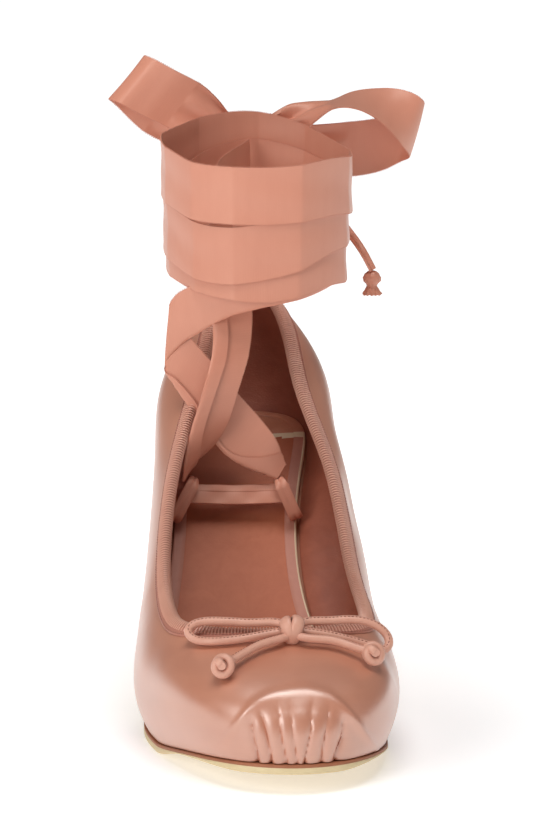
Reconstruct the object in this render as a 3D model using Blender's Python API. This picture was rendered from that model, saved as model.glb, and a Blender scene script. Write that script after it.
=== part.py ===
# Ankle tie pump for the right foot, standing empty on its sole.
# The origin is the middle of the ball's tread on the floor. The toe points to -Y,
# the inner side of the foot is +X, and all lengths are in metres.

import math

import bpy
import numpy as np

for old in list(bpy.data.objects):
    bpy.data.objects.remove(old, do_unlink=True)

# Driving sizes of the last
foot_length = 0.207
ball_from_toe = 0.072
ball_width = 0.088
toe_spring = 0.0070
heel_height = 0.0852
throat_height = 0.0446
counter_height = 0.0543

# Walls, layers and the clearance between pieces
clearance = 0.0003
upper_wall = 0.0018
sole_thickness = 0.0034
insole_thickness = 0.0020
sole_margin = 0.0008
binding_gap = 0.0004
binding_thickness = 0.0006
binding_outer_width = 0.0045
binding_inner_width = 0.0030

# Heel
heel_seat_length = 0.0425
heel_seat_width = 0.050
heel_centre = -0.0013
seat_gap = 0.0007
lift_thickness = 0.0042
lift_length = 0.0125
lift_width = 0.0145

# Ankle ribbon and its wrap, whose back stands over the heel
ribbon_width = 0.020
ribbon_thickness = 0.0006
wrap_width = 0.0684
wrap_depth = 0.078
wrap_centre = 0.003
wrap_behind_ball = 0.098
wrap_above_counter = 0.0017
folded_width = 0.0068
folded_thickness = 0.0014
loop_strip_width = 0.0045
loop_strip_thickness = 0.0008
loop_half_gap = 0.0032
tie_knot_radii = (0.0080, 0.0042, 0.0070)
tail_knot_radii = (0.0032, 0.0028, 0.0044)

# Cord bow on the vamp
cord_diameter = 0.003
bow_half_span = 0.036
bow_knot_radius = 0.0038
end_knot_radius = 0.0041
bow_side = 0.0036
bow_before_throat = 0.0092

ball_half = ball_width / 2
counter_top = heel_height + counter_height
wrap_foot = counter_top + wrap_above_counter

# How finely the solids are faceted
ring_steps = 26
wall_steps = 9
profile_samples = 400
heel_steps = 12
wrap_steps = 40
ribbon_steps = 28
knot_steps = 10
cord_points = 22


def columns(names, rows):
    # A table as one array for each named column
    return {name: np.array([row[i] for row in rows]) for i, name in enumerate(names.split())}


def soft_curve(x, xs, ys):
    # Smooth curve through the points that never overshoots, so flat stretches stay flat
    xs, ys = np.asarray(xs, float), np.asarray(ys, float)
    step, slope = np.diff(xs), np.diff(ys) / np.diff(xs)
    tangent = np.zeros(len(xs))
    for i in range(1, len(xs) - 1):
        if slope[i - 1] * slope[i] > 0:
            before = 2 * step[i] + step[i - 1]
            after = step[i] + 2 * step[i - 1]
            tangent[i] = (before + after) / (before / slope[i - 1] + after / slope[i])
    tangent[0], tangent[-1] = slope[0], slope[-1]
    x = np.clip(np.asarray(x, float), xs[0], xs[-1])
    k = np.clip(np.searchsorted(xs, x) - 1, 0, len(xs) - 2)
    t = (x - xs[k]) / step[k]
    return ((2 * t**3 - 3 * t**2 + 1) * ys[k] + (t**3 - 2 * t**2 + t) * step[k] * tangent[k]
            + (3 * t**2 - 2 * t**3) * ys[k + 1] + (t**3 - t**2) * step[k] * tangent[k + 1])


def ring_curve(knots, values, period, where):
    # Closed cubic spline through values at the knots, read at the places in where
    n = len(knots)
    step = np.diff(np.append(knots, knots[0] + period))
    lhs, rhs = np.zeros((n, n)), np.zeros((n, values.shape[1]))
    for i in range(n):
        before, after = step[i - 1], step[i]
        lhs[i, i - 1] += before
        lhs[i, i] += 2 * (before + after)
        lhs[i, (i + 1) % n] += after
        rhs[i] = 6 * ((values[(i + 1) % n] - values[i]) / after - (values[i] - values[i - 1]) / before)
    bend = np.linalg.solve(lhs, rhs)
    result = []
    for w in where:
        w = (w - knots[0]) % period + knots[0]
        i = int(np.searchsorted(knots, w, side="right")) - 1
        j, s = (i + 1) % n, step[i]
        b = (w - knots[i]) / s
        a = 1 - b
        result.append(a * values[i] + b * values[j]
                      + ((a**3 - a) * bend[i] + (b**3 - b) * bend[j]) * s * s / 6)
    return np.array(result)


def open_curve(values, count):
    # Smooth curve through the rows of values, read at evenly spread places
    values = np.asarray(values, float)
    gap = np.linalg.norm(np.diff(values[:, :3], axis=0), axis=1)
    way = np.concatenate([[0.0], np.cumsum(gap)])
    tangent = np.gradient(values, way, axis=0)
    where = np.linspace(0, way[-1], count)
    k = np.clip(np.searchsorted(way, where) - 1, 0, len(way) - 2)
    step = (way[k + 1] - way[k])[:, None]
    t = (where[:, None] - way[k][:, None]) / step
    return ((2 * t**3 - 3 * t**2 + 1) * values[k] + (t**3 - 2 * t**2 + t) * step * tangent[k]
            + (3 * t**2 - 2 * t**3) * values[k + 1] + (t**3 - t**2) * step * tangent[k + 1])


def unit(vectors):
    return vectors / np.linalg.norm(vectors, axis=-1, keepdims=True)


# The tread's profile from toe to heel: shares of foot_length, toe_spring and heel_height
tread = columns("along spring lift", [
    (0.000, 1.00, 0.000),
    (0.048, 0.93, 0.000),
    (0.100, 0.78, 0.000),
    (0.155, 0.57, 0.000),
    (0.217, 0.28, 0.000),
    (0.260, 0.08, 0.000),
    (0.290, 0.00, 0.000),
    (0.395, 0.00, 0.000),
    (0.435, 0.00, 0.024),
    (0.478, 0.00, 0.082),
    (0.551, 0.00, 0.217),
    (0.626, 0.00, 0.381),
    (0.698, 0.00, 0.557),
    (0.768, 0.00, 0.734),
    (0.855, 0.00, 0.915),
    (0.918, 0.00, 0.968),
    (1.030, 0.00, 1.000),
])

# How far the topline has risen from the throat to the counter's top
topline = columns("along rise", [
    (0.20, 0.000),
    (0.29, 0.004),
    (0.362, 0.036),
    (0.435, 0.099),
    (0.531, 0.257),
    (0.628, 0.447),
    (0.725, 0.626),
    (0.845, 0.826),
    (0.942, 0.953),
    (0.990, 1.000),
])

# Sections of the upper from toe to heel. Places along are shares of foot_length, places
# across and the fullness of the wall low and high are shares of half the ball's width,
# and the low and high reach of the wall's curve are shares of its height.
sections = columns("along outer inner top_along top_outer top_inner"
                   " low_outer low_inner high_outer high_inner low_reach high_reach", [
    (0.006, 0.07, 0.07, 0.230, 0.00, 0.00, 0.14, 0.14, 0.72, 0.72, 0.70, 0.20),
    (0.043, -0.39, 0.50, 0.232, -0.31, 0.31, 0.15, 0.15, 0.62, 0.62, 0.66, 0.24),
    (0.138, -0.69, 0.745, 0.247, -0.58, 0.56, 0.18, 0.18, 0.40, 0.40, 0.56, 0.28),
    (0.258, -0.88, 0.840, 0.295, -0.76, 0.70, 0.19, 0.20, 0.25, 0.27, 0.44, 0.30),
    (0.386, -0.97, 0.82, 0.386, -0.82, 0.70, 0.20, 0.23, 0.23, 0.27, 0.34, 0.30),
    (0.507, -0.905, 0.58, 0.493, -0.80, 0.65, 0.14, 0.39, 0.21, 0.32, 0.25, 0.34),
    (0.638, -0.76, 0.39, 0.623, -0.67, 0.56, 0.16, 0.55, 0.26, 0.34, 0.25, 0.36),
    (0.763, -0.665, 0.43, 0.754, -0.44, 0.38, 0.19, 0.37, 0.41, 0.40, 0.28, 0.30),
    (0.870, -0.61, 0.525, 0.870, -0.28, 0.31, 0.21, 0.24, 0.43, 0.36, 0.28, 0.24),
    (0.950, -0.41, 0.37, 0.950, -0.17, 0.18, 0.20, 0.19, 0.30, 0.26, 0.27, 0.24),
    (0.978, -0.03, -0.03, 0.988, 0.00, 0.00, 0.20, 0.20, 0.15, 0.15, 0.25, 0.26),
])

# The heel from seat to top lift: share of its height, place of its back as a share of
# foot_length, then how much of the seat's extra length and width is left
heel_shape = columns("drop back long wide", [
    (0.00, 0.974, 1.00, 1.00),
    (0.13, 0.974, 0.68, 0.80),
    (0.30, 0.962, 0.36, 0.48),
    (0.52, 0.948, 0.14, 0.17),
    (0.78, 0.943, 0.02, 0.02),
    (1.00, 0.943, 0.00, 0.00),
])

# Middle heights of the three turns round the ankle, in ribbon widths above the wrap's foot,
# by share of a turn from the front towards the inner side
wrap_turns = columns("turn low middle top", [
    (0.000, 0.50, 0.87, 1.87),
    (0.125, 0.46, 1.02, 1.80),
    (0.250, 0.53, 1.28, 1.74),
    (0.375, 0.75, 1.60, 2.05),
    (0.500, 0.94, 1.84, 2.34),
    (0.625, 0.95, 1.50, 2.20),
    (0.750, 0.80, 1.06, 1.94),
    (0.875, 0.70, 0.93, 1.90),
])

# Ribbon routes: across is a share of half the ball's width, along of foot_length and rise of
# the wrap's foot. Lean is the direction of the ribbon's width, full its share of that width.
inner_riser_route = [
    (0.211, 0.705, 0.554, 0.50, 0.30, 0.80, 0.35),
    (0.110, 0.703, 0.588, 0.55, 0.10, 0.80, 0.70),
    (-0.068, 0.706, 0.636, 0.60, 0.10, 0.75, 0.85),
    (-0.262, 0.706, 0.700, 0.65, 0.10, 0.75, 0.84),
    (-0.410, 0.704, 0.774, 0.60, 0.10, 0.78, 0.70),
    (-0.580, 0.708, 0.826, 0.40, 0.30, 0.85, 0.70),
    (-0.682, 0.717, 0.880, 0.00, 0.71, 0.71, 0.80),
    (-0.614, 0.722, 0.922, -0.10, 0.35, 0.93, 0.82),
    (-0.443, 0.717, 0.966, -0.20, 0.00, 1.00, 0.82),
    (-0.273, 0.682, 1.030, -0.20, 0.00, 1.00, 1.00),
    (0.000, 0.656, 1.052, -0.10, 0.00, 1.00, 1.00),
    (0.295, 0.664, 1.069, -0.20, 0.00, 1.00, 1.00),
    (0.530, 0.700, 1.084, -0.10, 0.00, 1.00, 1.00),
    (0.682, 0.758, 1.091, 0.00, 0.00, 1.00, 1.00),
    (0.750, 0.821, 1.098, 0.00, 0.00, 1.00, 1.00),
]
outer_riser_route = [
    (-0.557, 0.705, 0.552, 0.30, 0.90, 0.30, 0.35),
    (-0.473, 0.688, 0.602, 0.70, 0.60, 0.20, 0.45),
    (-0.390, 0.673, 0.673, 0.95, 0.15, 0.15, 0.50),
    (-0.300, 0.669, 0.765, 0.97, 0.05, 0.10, 0.65),
    (-0.200, 0.682, 0.864, 1.00, 0.00, 0.00, 0.60),
    (-0.135, 0.716, 0.956, 1.00, 0.00, 0.00, 0.50),
    (-0.114, 0.745, 1.062, 1.00, 0.00, 0.00, 0.60),
    (-0.023, 0.816, 1.161, 1.00, 0.00, 0.00, 0.60),
    (0.023, 0.903, 1.232, 1.00, 0.00, 0.00, 0.60),
    (0.057, 0.966, 1.282, 1.00, 0.00, 0.00, 0.60),
    (0.068, 0.996, 1.322, 1.00, 0.00, 0.00, 0.60),
]
instep_route = [
    (-0.614, 0.707, 0.504, 0.00, 0.50, 0.85, 1.00),
    (-0.180, 0.710, 0.497, 0.00, 0.50, 0.85, 1.00),
    (0.285, 0.706, 0.499, 0.00, 0.50, 0.85, 1.00),
]

# Routes of the bow behind the ankle, from the middle of its knot: places are in ribbon widths
left_bow_route = [
    (-0.40, 0.01, 0.17, 0.35, 0.00, 0.94, 0.50),
    (-0.72, 0.04, 0.33, 0.50, -0.10, 0.86, 0.80),
    (-1.16, 0.03, 0.60, 0.58, -0.15, 0.80, 1.00),
    (-1.62, 0.00, 0.88, 0.66, -0.15, 0.74, 1.00),
    (-1.94, 0.03, 1.04, 0.74, -0.10, 0.66, 1.00),
    (-2.07, 0.25, 1.01, 0.76, 0.00, 0.65, 1.00),
    (-1.92, 0.48, 0.82, 0.68, 0.00, 0.73, 1.00),
    (-1.47, 0.52, 0.50, 0.58, 0.00, 0.81, 1.00),
    (-0.96, 0.40, 0.21, 0.45, 0.00, 0.90, 0.80),
    (-0.50, 0.20, 0.00, 0.30, 0.00, 0.95, 0.50),
]
right_bow_route = [
    (0.42, 0.00, 0.13, -0.20, 0.50, 0.85, 0.45),
    (0.78, 0.02, 0.39, 0.00, 1.00, 0.00, 0.60),
    (1.15, -0.08, 0.56, 0.00, 1.00, -0.08, 0.90),
    (1.54, -0.14, 0.65, 0.00, 1.00, 0.00, 1.00),
    (1.95, -0.16, 0.66, 0.00, 0.98, 0.18, 1.00),
    (2.40, -0.16, 0.57, 0.05, 0.87, 0.49, 1.00),
    (2.79, -0.12, 0.44, 0.10, 0.60, 0.80, 1.00),
    (3.08, 0.00, 0.28, 0.15, 0.20, 0.97, 1.00),
    (3.19, 0.22, 0.16, 0.17, 0.00, 0.98, 1.00),
    (3.02, 0.42, 0.00, 0.12, 0.00, 1.00, 1.00),
    (2.60, 0.52, -0.20, 0.05, 0.00, 1.00, 1.00),
    (1.90, 0.52, -0.33, 0.00, 0.00, 1.00, 1.00),
    (1.25, 0.42, -0.31, 0.00, 0.00, 1.00, 0.90),
    (0.70, 0.28, -0.19, 0.00, 0.00, 1.00, 0.70),
    (0.44, 0.15, -0.07, 0.00, 0.00, 1.00, 0.50),
]
inner_tail_route = [
    (0.20, 0.00, -0.34, -0.10, 1.00, 0.10, 0.30),
    (0.72, -0.08, -0.62, -0.10, 1.00, 0.10, 0.42),
    (1.30, -0.27, -1.02, -0.10, 1.00, 0.10, 0.45),
    (1.72, -0.72, -1.50, -0.10, 1.00, 0.10, 0.45),
    (1.96, -1.17, -1.92, 0.00, 1.00, 0.00, 0.35),
    (2.10, -1.20, -2.26, 0.00, 1.00, 0.00, 0.20),
]
outer_tail_route = [
    (-0.20, 0.02, -0.345, 1.00, 0.00, 0.00, 0.40),
    (-0.30, 0.22, -0.82, 1.00, 0.00, 0.00, 0.45),
    (-0.35, 0.32, -1.42, 1.00, 0.00, 0.00, 0.45),
    (-0.33, 0.28, -2.02, 1.00, 0.00, 0.00, 0.20),
]

# Routes of the cord bow from the middle of its knot, in shares of its half span
outer_loop_route = [
    (-0.094, 0.081, 0.058),
    (-0.350, 0.170, 0.036),
    (-0.628, 0.222, 0.047),
    (-0.864, 0.250, 0.036),
    (-0.983, 0.208, -0.019),
    (-0.950, 0.194, -0.092),
    (-0.772, 0.058, -0.103),
    (-0.497, 0.003, -0.075),
    (-0.128, 0.011, -0.019),
]
inner_loop_route = [
    (0.094, 0.081, 0.058),
    (0.344, 0.125, 0.053),
    (0.622, 0.139, 0.056),
    (0.831, 0.125, -0.011),
    (0.933, 0.083, -0.128),
    (0.889, 0.000, -0.222),
    (0.733, 0.000, -0.164),
    (0.456, 0.014, -0.081),
    (0.128, 0.014, -0.019),
]
outer_end_route = [
    (-0.083, -0.092, -0.047),
    (-0.322, -0.219, -0.078),
    (-0.489, -0.347, -0.131),
    (-0.589, -0.450, -0.167),
]
inner_end_route = [
    (0.083, -0.092, -0.047),
    (0.372, -0.117, -0.075),
    (0.631, -0.214, -0.144),
]
outer_end_knot = (-0.681, -0.528, -0.194)
inner_end_knot = (0.744, -0.253, -0.172)


def tread_z(y):
    along = (y + ball_from_toe) / foot_length
    return (toe_spring * soft_curve(along, tread["along"], tread["spring"])
            + heel_height * soft_curve(along, tread["along"], tread["lift"]))


def level_z(y, level):
    # Height of the surface that lies a level above the tread, measured square to it
    ys = np.linspace(-ball_from_toe - 0.02, foot_length - ball_from_toe + 0.02, profile_samples)
    zs = tread_z(ys)
    slope = np.gradient(zs, ys)
    length = np.sqrt(1 + slope**2)
    return np.interp(y, ys - level * slope / length, zs + level / length)


def topline_z(y):
    along = (y + ball_from_toe) / foot_length
    return throat_height + (counter_top - throat_height) * soft_curve(along, topline["along"], topline["rise"])


def both_sides(low, high):
    # Values round the shoe: toe, outer side, heel, and back along the inner side
    return np.concatenate([low, high[-2:0:-1]])


def ring_knots():
    # Distance round the feather edge, the mean of both sides so that they pair up
    y = sections["along"] * foot_length
    outer, inner = sections["outer"] * ball_half, sections["inner"] * ball_half
    step = (np.hypot(np.diff(y), np.diff(outer)) + np.hypot(np.diff(y), np.diff(inner))) / 2
    way = np.concatenate([[0.0], np.cumsum(step)])
    return np.concatenate([way, 2 * way[-1] - way[-2:0:-1]]), 2 * way[-1]


def ring_places(steps):
    knots, period = ring_knots()
    return np.arange(2 * steps) * period / (2 * steps)


def read_ring(outer_name, inner_name, where):
    knots, period = ring_knots()
    values = both_sides(sections[outer_name], sections[inner_name])[:, None]
    return ring_curve(knots, values, period, where)[:, 0]


def feather_plan(where):
    x = read_ring("outer", "inner", where) * ball_half
    y = read_ring("along", "along", where) * foot_length - ball_from_toe
    return x, y


def plan_normals(x, y):
    # Outward directions of a closed outline that runs toe, outer side, heel, inner side
    dx = np.roll(x, -1) - np.roll(x, 1)
    dy = np.roll(y, -1) - np.roll(y, 1)
    length = np.hypot(dx, dy)
    return -dy / length, dx / length


def upper_frame(where):
    # The four control points of the wall's curve at each place round the shoe
    x, y = feather_plan(where)
    z = level_z(y, sole_thickness + clearance)
    nx, ny = plan_normals(x, y)
    tx = read_ring("top_outer", "top_inner", where) * ball_half
    ty = read_ring("top_along", "top_along", where) * foot_length - ball_from_toe
    tz = topline_z(ty)
    low = read_ring("low_outer", "low_inner", where) * ball_half
    high = read_ring("high_outer", "high_inner", where) * ball_half
    rise = tz - z
    low_up = read_ring("low_reach", "low_reach", where) * rise
    high_up = read_ring("high_reach", "high_reach", where) * rise
    feather = np.stack([x, y, z], 1)
    lower = np.stack([x + nx * low, y + ny * low, z + low_up], 1)
    upper = np.stack([tx + nx * high, ty + ny * high, tz - high_up], 1)
    top = np.stack([tx, ty, tz], 1)
    return feather, lower, upper, top


def on_wall(frame, v):
    # Points of the upper's outside at a share v of the way up, from its control points
    feather, lower, upper, top = frame
    a = 1 - v
    return a**3 * feather + 3 * a * a * v * lower + 3 * a * v * v * upper + v**3 * top


def wall_grid(where, heights):
    frame = upper_frame(where)
    return np.array([on_wall(frame, v) for v in heights])


def grid_normals(grid):
    # Outward normals of a grid whose rows close round the shoe
    around = np.roll(grid, -1, axis=1) - np.roll(grid, 1, axis=1)
    return unit(np.cross(np.gradient(grid, axis=0), around))


def inner_grid(grid, depth):
    # The same grid moved in by depth, with its lowest row kept on the sole
    normal = grid_normals(grid)
    inner = grid - normal * depth
    inner[0] = grid[0] - unit(normal[0] * (1, 1, 0)) * depth
    inner[0, :, 2] = level_z(inner[0, :, 1], sole_thickness + clearance)
    return inner


def below_edge(grid, values, width):
    # Values of a wall's grid at this distance below its top edge, straight between its rows
    length = np.linalg.norm(np.diff(grid, axis=0), axis=2)
    down = np.concatenate([np.cumsum(length[::-1], axis=0)[::-1], np.zeros((1, grid.shape[1]))])
    result = np.empty_like(values[0])
    for i in range(grid.shape[1]):
        for axis in range(3):
            result[i, axis] = np.interp(-width, -down[:, i], values[:, i, axis])
    return result


def make_material(name, colour, roughness):
    material = bpy.data.materials.new(name)
    material.use_nodes = True
    shader = material.node_tree.nodes["Principled BSDF"]
    shader.inputs["Base Color"].default_value = (*colour, 1)
    shader.inputs["Roughness"].default_value = roughness
    shader.inputs["Metallic"].default_value = 0.0
    return material


satin = make_material("rose_satin", (0.52, 0.25, 0.19), 0.35)
ribbon_satin = make_material("ribbon_satin", (0.60, 0.30, 0.22), 0.4)
grosgrain = make_material("grosgrain", (0.48, 0.26, 0.21), 0.6)
cord_satin = make_material("cord_satin", (0.62, 0.36, 0.27), 0.4)
leather_sole = make_material("pale_sole_leather", (0.72, 0.62, 0.42), 0.5)
sock_leather = make_material("brown_sock_leather", (0.33, 0.12, 0.08), 0.45)
lift_rubber = make_material("top_lift_rubber", (0.30, 0.18, 0.13), 0.6)


def make_object(name, points, faces, material):
    mesh = bpy.data.meshes.new(name)
    mesh.from_pydata([tuple(p) for p in points], [], faces)
    mesh.validate()
    mesh.materials.append(material)
    mesh.shade_smooth()
    mesh.set_sharp_from_angle(angle=math.radians(40))
    thing = bpy.data.objects.new(name, mesh)
    bpy.context.scene.collection.objects.link(thing)
    return thing


def loop_faces(rows, count):
    # Quads of a loop of rows, each row a closed ring: a solid ring with no ends
    faces = []
    for r in range(rows):
        below, above = r * count, (r + 1) % rows * count
        for i in range(count):
            j = (i + 1) % count
            faces.append((below + i, above + i, above + j, below + j))
    return faces


def tube_faces(rings, count):
    # Quads of a run of closed rings, the first and last filled across
    faces = []
    for r in range(rings - 1):
        low, high = r * count, (r + 1) * count
        for i in range(count):
            j = (i + 1) % count
            faces.append((low + i, low + j, high + j, high + i))
    faces.append(tuple(range(count))[::-1])
    faces.append(tuple(range((rings - 1) * count, rings * count)))
    return faces


def paired_cap(base, count, upward):
    # Fills a ring whose points pair up across the shoe, in strips from side to side
    faces = []
    for i in range(count // 2):
        quad = [base + i, base + i + 1, base + (count - i - 1) % count, base + (count - i) % count]
        quad = [p for k, p in enumerate(quad) if p not in quad[:k]]
        faces.append(tuple(quad[::-1]) if upward else tuple(quad))
    return faces


def upper_walls():
    where = ring_places(ring_steps)
    outside = wall_grid(where, np.linspace(0, 1, wall_steps + 1))
    return outside, inner_grid(outside, upper_wall)


def add_upper():
    outside, inside = upper_walls()
    loop = np.concatenate([outside, inside[::-1]])
    return make_object("upper", loop.reshape(-1, 3), loop_faces(len(loop), loop.shape[1]), satin)


def add_binding():
    # Ribbed tape folded over the wall's top edge, clear of the wall all round
    outside, inside = upper_walls()
    normals = grid_normals(outside)
    near, far = binding_gap, binding_gap + binding_thickness
    foot = below_edge(outside, outside, binding_outer_width)
    foot_out = unit(below_edge(outside, normals, binding_outer_width))
    inner_foot = below_edge(inside, inside, binding_inner_width)
    inner_out = unit(below_edge(inside, normals, binding_inner_width))
    top, inner_top, top_out = outside[-1], inside[-1], normals[-1]
    climb = unit(outside[-1] - outside[-2])
    loop = np.array([
        foot + foot_out * near,
        foot + foot_out * far,
        top + top_out * far,
        top + top_out * near + climb * far,
        inner_top - top_out * near + climb * far,
        inner_top - top_out * far,
        inner_foot - inner_out * far,
        inner_foot - inner_out * near,
        inner_top - top_out * near + climb * near,
        top + top_out * near + climb * near,
    ])
    # Each quad starts a corner on, so that it is split the same way as the wall behind it
    faces = [face[1:] + face[:1] for face in loop_faces(len(loop), loop.shape[1])]
    return make_object("topline_binding", loop.reshape(-1, 3), faces, grosgrain)


def sole_layer(name, inset, low, high, material):
    # A layer between two levels above the tread, its outline set in from the feather edge
    x, y = feather_plan(ring_places(ring_steps))
    nx, ny = plan_normals(x, y)
    x, y = x - nx * inset, y - ny * inset
    count = len(x)
    points = np.concatenate([np.stack([x, y, level_z(y, level)], 1) for level in (low, high)])
    faces = [(i, count + i, count + (i + 1) % count, (i + 1) % count) for i in range(count)]
    faces += paired_cap(0, count, False) + paired_cap(count, count, True)
    return make_object(name, points, faces, material)


def heel_ring(drop, back, long, wide):
    # One level of the heel: a rounded D with its flatter side to the front
    turns = np.arange(2 * heel_steps) * math.pi / heel_steps
    length = lift_length + (heel_seat_length - lift_length) * long
    half = (lift_width + (heel_seat_width - lift_width) * wide) / 2
    y = back * foot_length - ball_from_toe - length / 2 + length / 2 * np.cos(turns)
    x = heel_centre + half * np.sign(np.sin(turns)) * np.abs(np.sin(turns))**0.85
    seat = level_z(y, -seat_gap)
    floor = lift_thickness + clearance
    return np.stack([x, y, seat + (floor - seat) * drop], 1)


def add_heel():
    rings = [heel_ring(*row) for row in zip(*heel_shape.values())]
    count = 2 * heel_steps
    faces = tube_faces(len(rings), count)[:-2]
    faces += paired_cap(0, count, True) + paired_cap((len(rings) - 1) * count, count, False)
    make_object("heel", np.concatenate(rings), faces, satin)
    lift = [rings[-1] * (1, 1, 0) + (0, 0, height) for height in (lift_thickness, 0)]
    return make_object("top_lift", np.concatenate(lift), tube_faces(2, count), lift_rubber)


def layer_radii(layer):
    # Half width and half depth of a turn's middle, counted outwards from the innermost
    pitch = ribbon_thickness + clearance
    inward = ribbon_thickness / 2 + (3 - layer) * pitch
    return wrap_width / 2 - inward, wrap_depth / 2 - inward


def add_turn(name, layer, lift_name):
    # One turn of ribbon round the ankle, closed behind the knot
    turns = np.arange(wrap_steps) / wrap_steps
    lifts = ring_curve(wrap_turns["turn"], wrap_turns[lift_name][:, None], 1.0, turns)[:, 0]
    half_width, half_depth = layer_radii(layer)
    angle = turns * 2 * math.pi
    rows = []
    for edge, side in ((-1, 1), (1, 1), (1, -1), (-1, -1)):
        grow = side * ribbon_thickness / 2
        x = wrap_centre + (half_width + grow) * np.sin(angle)
        y = wrap_behind_ball - (half_depth + grow) * np.cos(angle)
        rows.append(np.stack([x, y, wrap_foot + (lifts + edge / 2) * ribbon_width], 1))
    loop = np.array(rows)
    faces = [face[::-1] for face in loop_faces(len(loop), wrap_steps)]
    return make_object(name, loop.reshape(-1, 3), faces, ribbon_satin)


def add_ribbon(name, route, width, thickness):
    # A strip with flat ends along a route of points, width directions and width shares
    path = open_curve(route, ribbon_steps)
    centre, lean, full = path[:, :3], path[:, 3:6], path[:, 6:7]
    ahead = unit(np.gradient(centre, axis=0))
    lean = unit(lean - ahead * np.sum(lean * ahead, axis=1, keepdims=True))
    out = np.cross(ahead, lean)
    rings = []
    for across, through in ((-1, -1), (1, -1), (1, 1), (-1, 1)):
        rings.append(centre + lean * across * full * width / 2 + out * through * thickness / 2)
    points = np.array(rings).transpose(1, 0, 2).reshape(-1, 3)
    return make_object(name, points, tube_faces(ribbon_steps, 4), ribbon_satin)


def shoe_route(route):
    # Turns shares of the shoe's sizes into places
    rows = np.array(route, float)
    rows[:, 0] *= ball_half
    rows[:, 1] = rows[:, 1] * foot_length - ball_from_toe
    rows[:, 2] *= wrap_foot
    return rows


def knot_route(route, middle, reach):
    # Turns steps from a knot's middle into places
    rows = np.array(route, float)
    rows[:, :3] = rows[:, :3] * reach + middle
    return rows


def add_ribbon_loop(name, across, lean, top):
    # A strip stitched beside the insole and doubled round the folded ribbon
    y = instep_route[0][1] * foot_length - ball_from_toe
    outside = loop_half_gap + loop_strip_thickness
    insole_top = sole_thickness + clearance + insole_thickness
    rise = (level_z(y + 0.001, insole_top) - level_z(y - 0.001, insole_top)) / 0.002
    seat_z, head_z = level_z(y, insole_top), top * wrap_foot
    tilt = abs(lean) * ball_half / (head_z - seat_z)
    foot_z = seat_z + (outside + clearance) * math.sqrt(1 + rise**2) + tilt * loop_strip_width / 2
    foot = np.array([across * ball_half, y, foot_z])
    head = np.array([(across + lean) * ball_half, y, head_z])
    up = unit(head - foot)
    side = np.array([0.0, 1.0, 0.0])
    through = np.cross(up, side)
    turns = np.arange(16) * math.pi / 8 + math.pi / 16
    rings = []
    for radius, edge in ((outside, -1), (outside, 1), (loop_half_gap, 1), (loop_half_gap, -1)):
        ring = []
        for turn in turns:
            middle = head if math.sin(turn) > 0 else foot
            ring.append(middle + radius * (math.cos(turn) * side + math.sin(turn) * up)
                        + through * edge * loop_strip_width / 2)
        rings.append(ring)
    points = np.array(rings)
    faces = loop_faces(4, len(turns))
    return make_object(name, points.reshape(-1, 3), faces, ribbon_satin)


def add_bulb(name, middle, radii, material):
    # A rounded knot as a closed ball, stretched to its three radii
    rings, count = knot_steps // 2, knot_steps
    points = [(0, 0, -1)]
    for r in range(1, rings):
        height = -math.cos(math.pi * r / rings)
        radius = math.sin(math.pi * r / rings)
        for i in range(count):
            turn = 2 * math.pi * i / count
            points.append((radius * math.cos(turn), radius * math.sin(turn), height))
    points.append((0, 0, 1))
    faces = [(0, 1 + (i + 1) % count, 1 + i) for i in range(count)]
    for r in range(rings - 2):
        low, high = 1 + r * count, 1 + (r + 1) * count
        faces += [(low + i, low + (i + 1) % count, high + (i + 1) % count, high + i) for i in range(count)]
    last = 1 + (rings - 2) * count
    faces += [(last + i, last + (i + 1) % count, len(points) - 1) for i in range(count)]
    places = np.array(points) * np.array(radii) + np.array(middle)
    return make_object(name, places, faces, material)


def add_cord(name, route):
    path = open_curve(np.array(route, float), cord_points)
    curve = bpy.data.curves.new(name, "CURVE")
    curve.dimensions = "3D"
    curve.bevel_depth = cord_diameter / 2
    curve.bevel_resolution = 2
    curve.use_fill_caps = True
    spline = curve.splines.new("POLY")
    spline.points.add(len(path) - 1)
    for point, place in zip(spline.points, path):
        point.co = (*place, 1)
    curve.materials.append(cord_satin)
    thing = bpy.data.objects.new(name, curve)
    bpy.context.scene.collection.objects.link(thing)
    return thing


def add_ankle_tie():
    add_turn("tie_turn_low", 1, "low")
    add_turn("tie_turn_middle", 2, "middle")
    add_turn("tie_turn_top", 3, "top")
    add_ribbon("tie_riser_inner", shoe_route(inner_riser_route), ribbon_width, ribbon_thickness)
    add_ribbon("tie_riser_outer", shoe_route(outer_riser_route), ribbon_width, ribbon_thickness)
    add_ribbon("tie_instep", shoe_route(instep_route), folded_width, folded_thickness)
    add_ribbon_loop("ribbon_loop_outer", -0.622, 0.100, 0.519)
    add_ribbon_loop("ribbon_loop_inner", 0.307, -0.080, 0.514)
    back_lift = wrap_turns["top"][list(wrap_turns["turn"]).index(0.5)]
    knot_y = wrap_behind_ball + wrap_depth / 2 + clearance + tie_knot_radii[1]
    knot = np.array([wrap_centre, knot_y, wrap_foot + back_lift * ribbon_width])
    add_bulb("tie_knot", knot, tie_knot_radii, ribbon_satin)
    for name, route in (("tie_bow_outer", left_bow_route), ("tie_bow_inner", right_bow_route),
                        ("tie_tail_inner", inner_tail_route), ("tie_tail_outer", outer_tail_route)):
        add_ribbon(name, knot_route(route, knot, ribbon_width), ribbon_width, ribbon_thickness)
    for name, route in (("tie_tail_inner_knot", inner_tail_route), ("tie_tail_outer_knot", outer_tail_route)):
        end = np.array(route[-1][:3]) * ribbon_width + knot
        add_bulb(name, end - (0, 0, clearance + tail_knot_radii[2]), tail_knot_radii, ribbon_satin)


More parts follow.
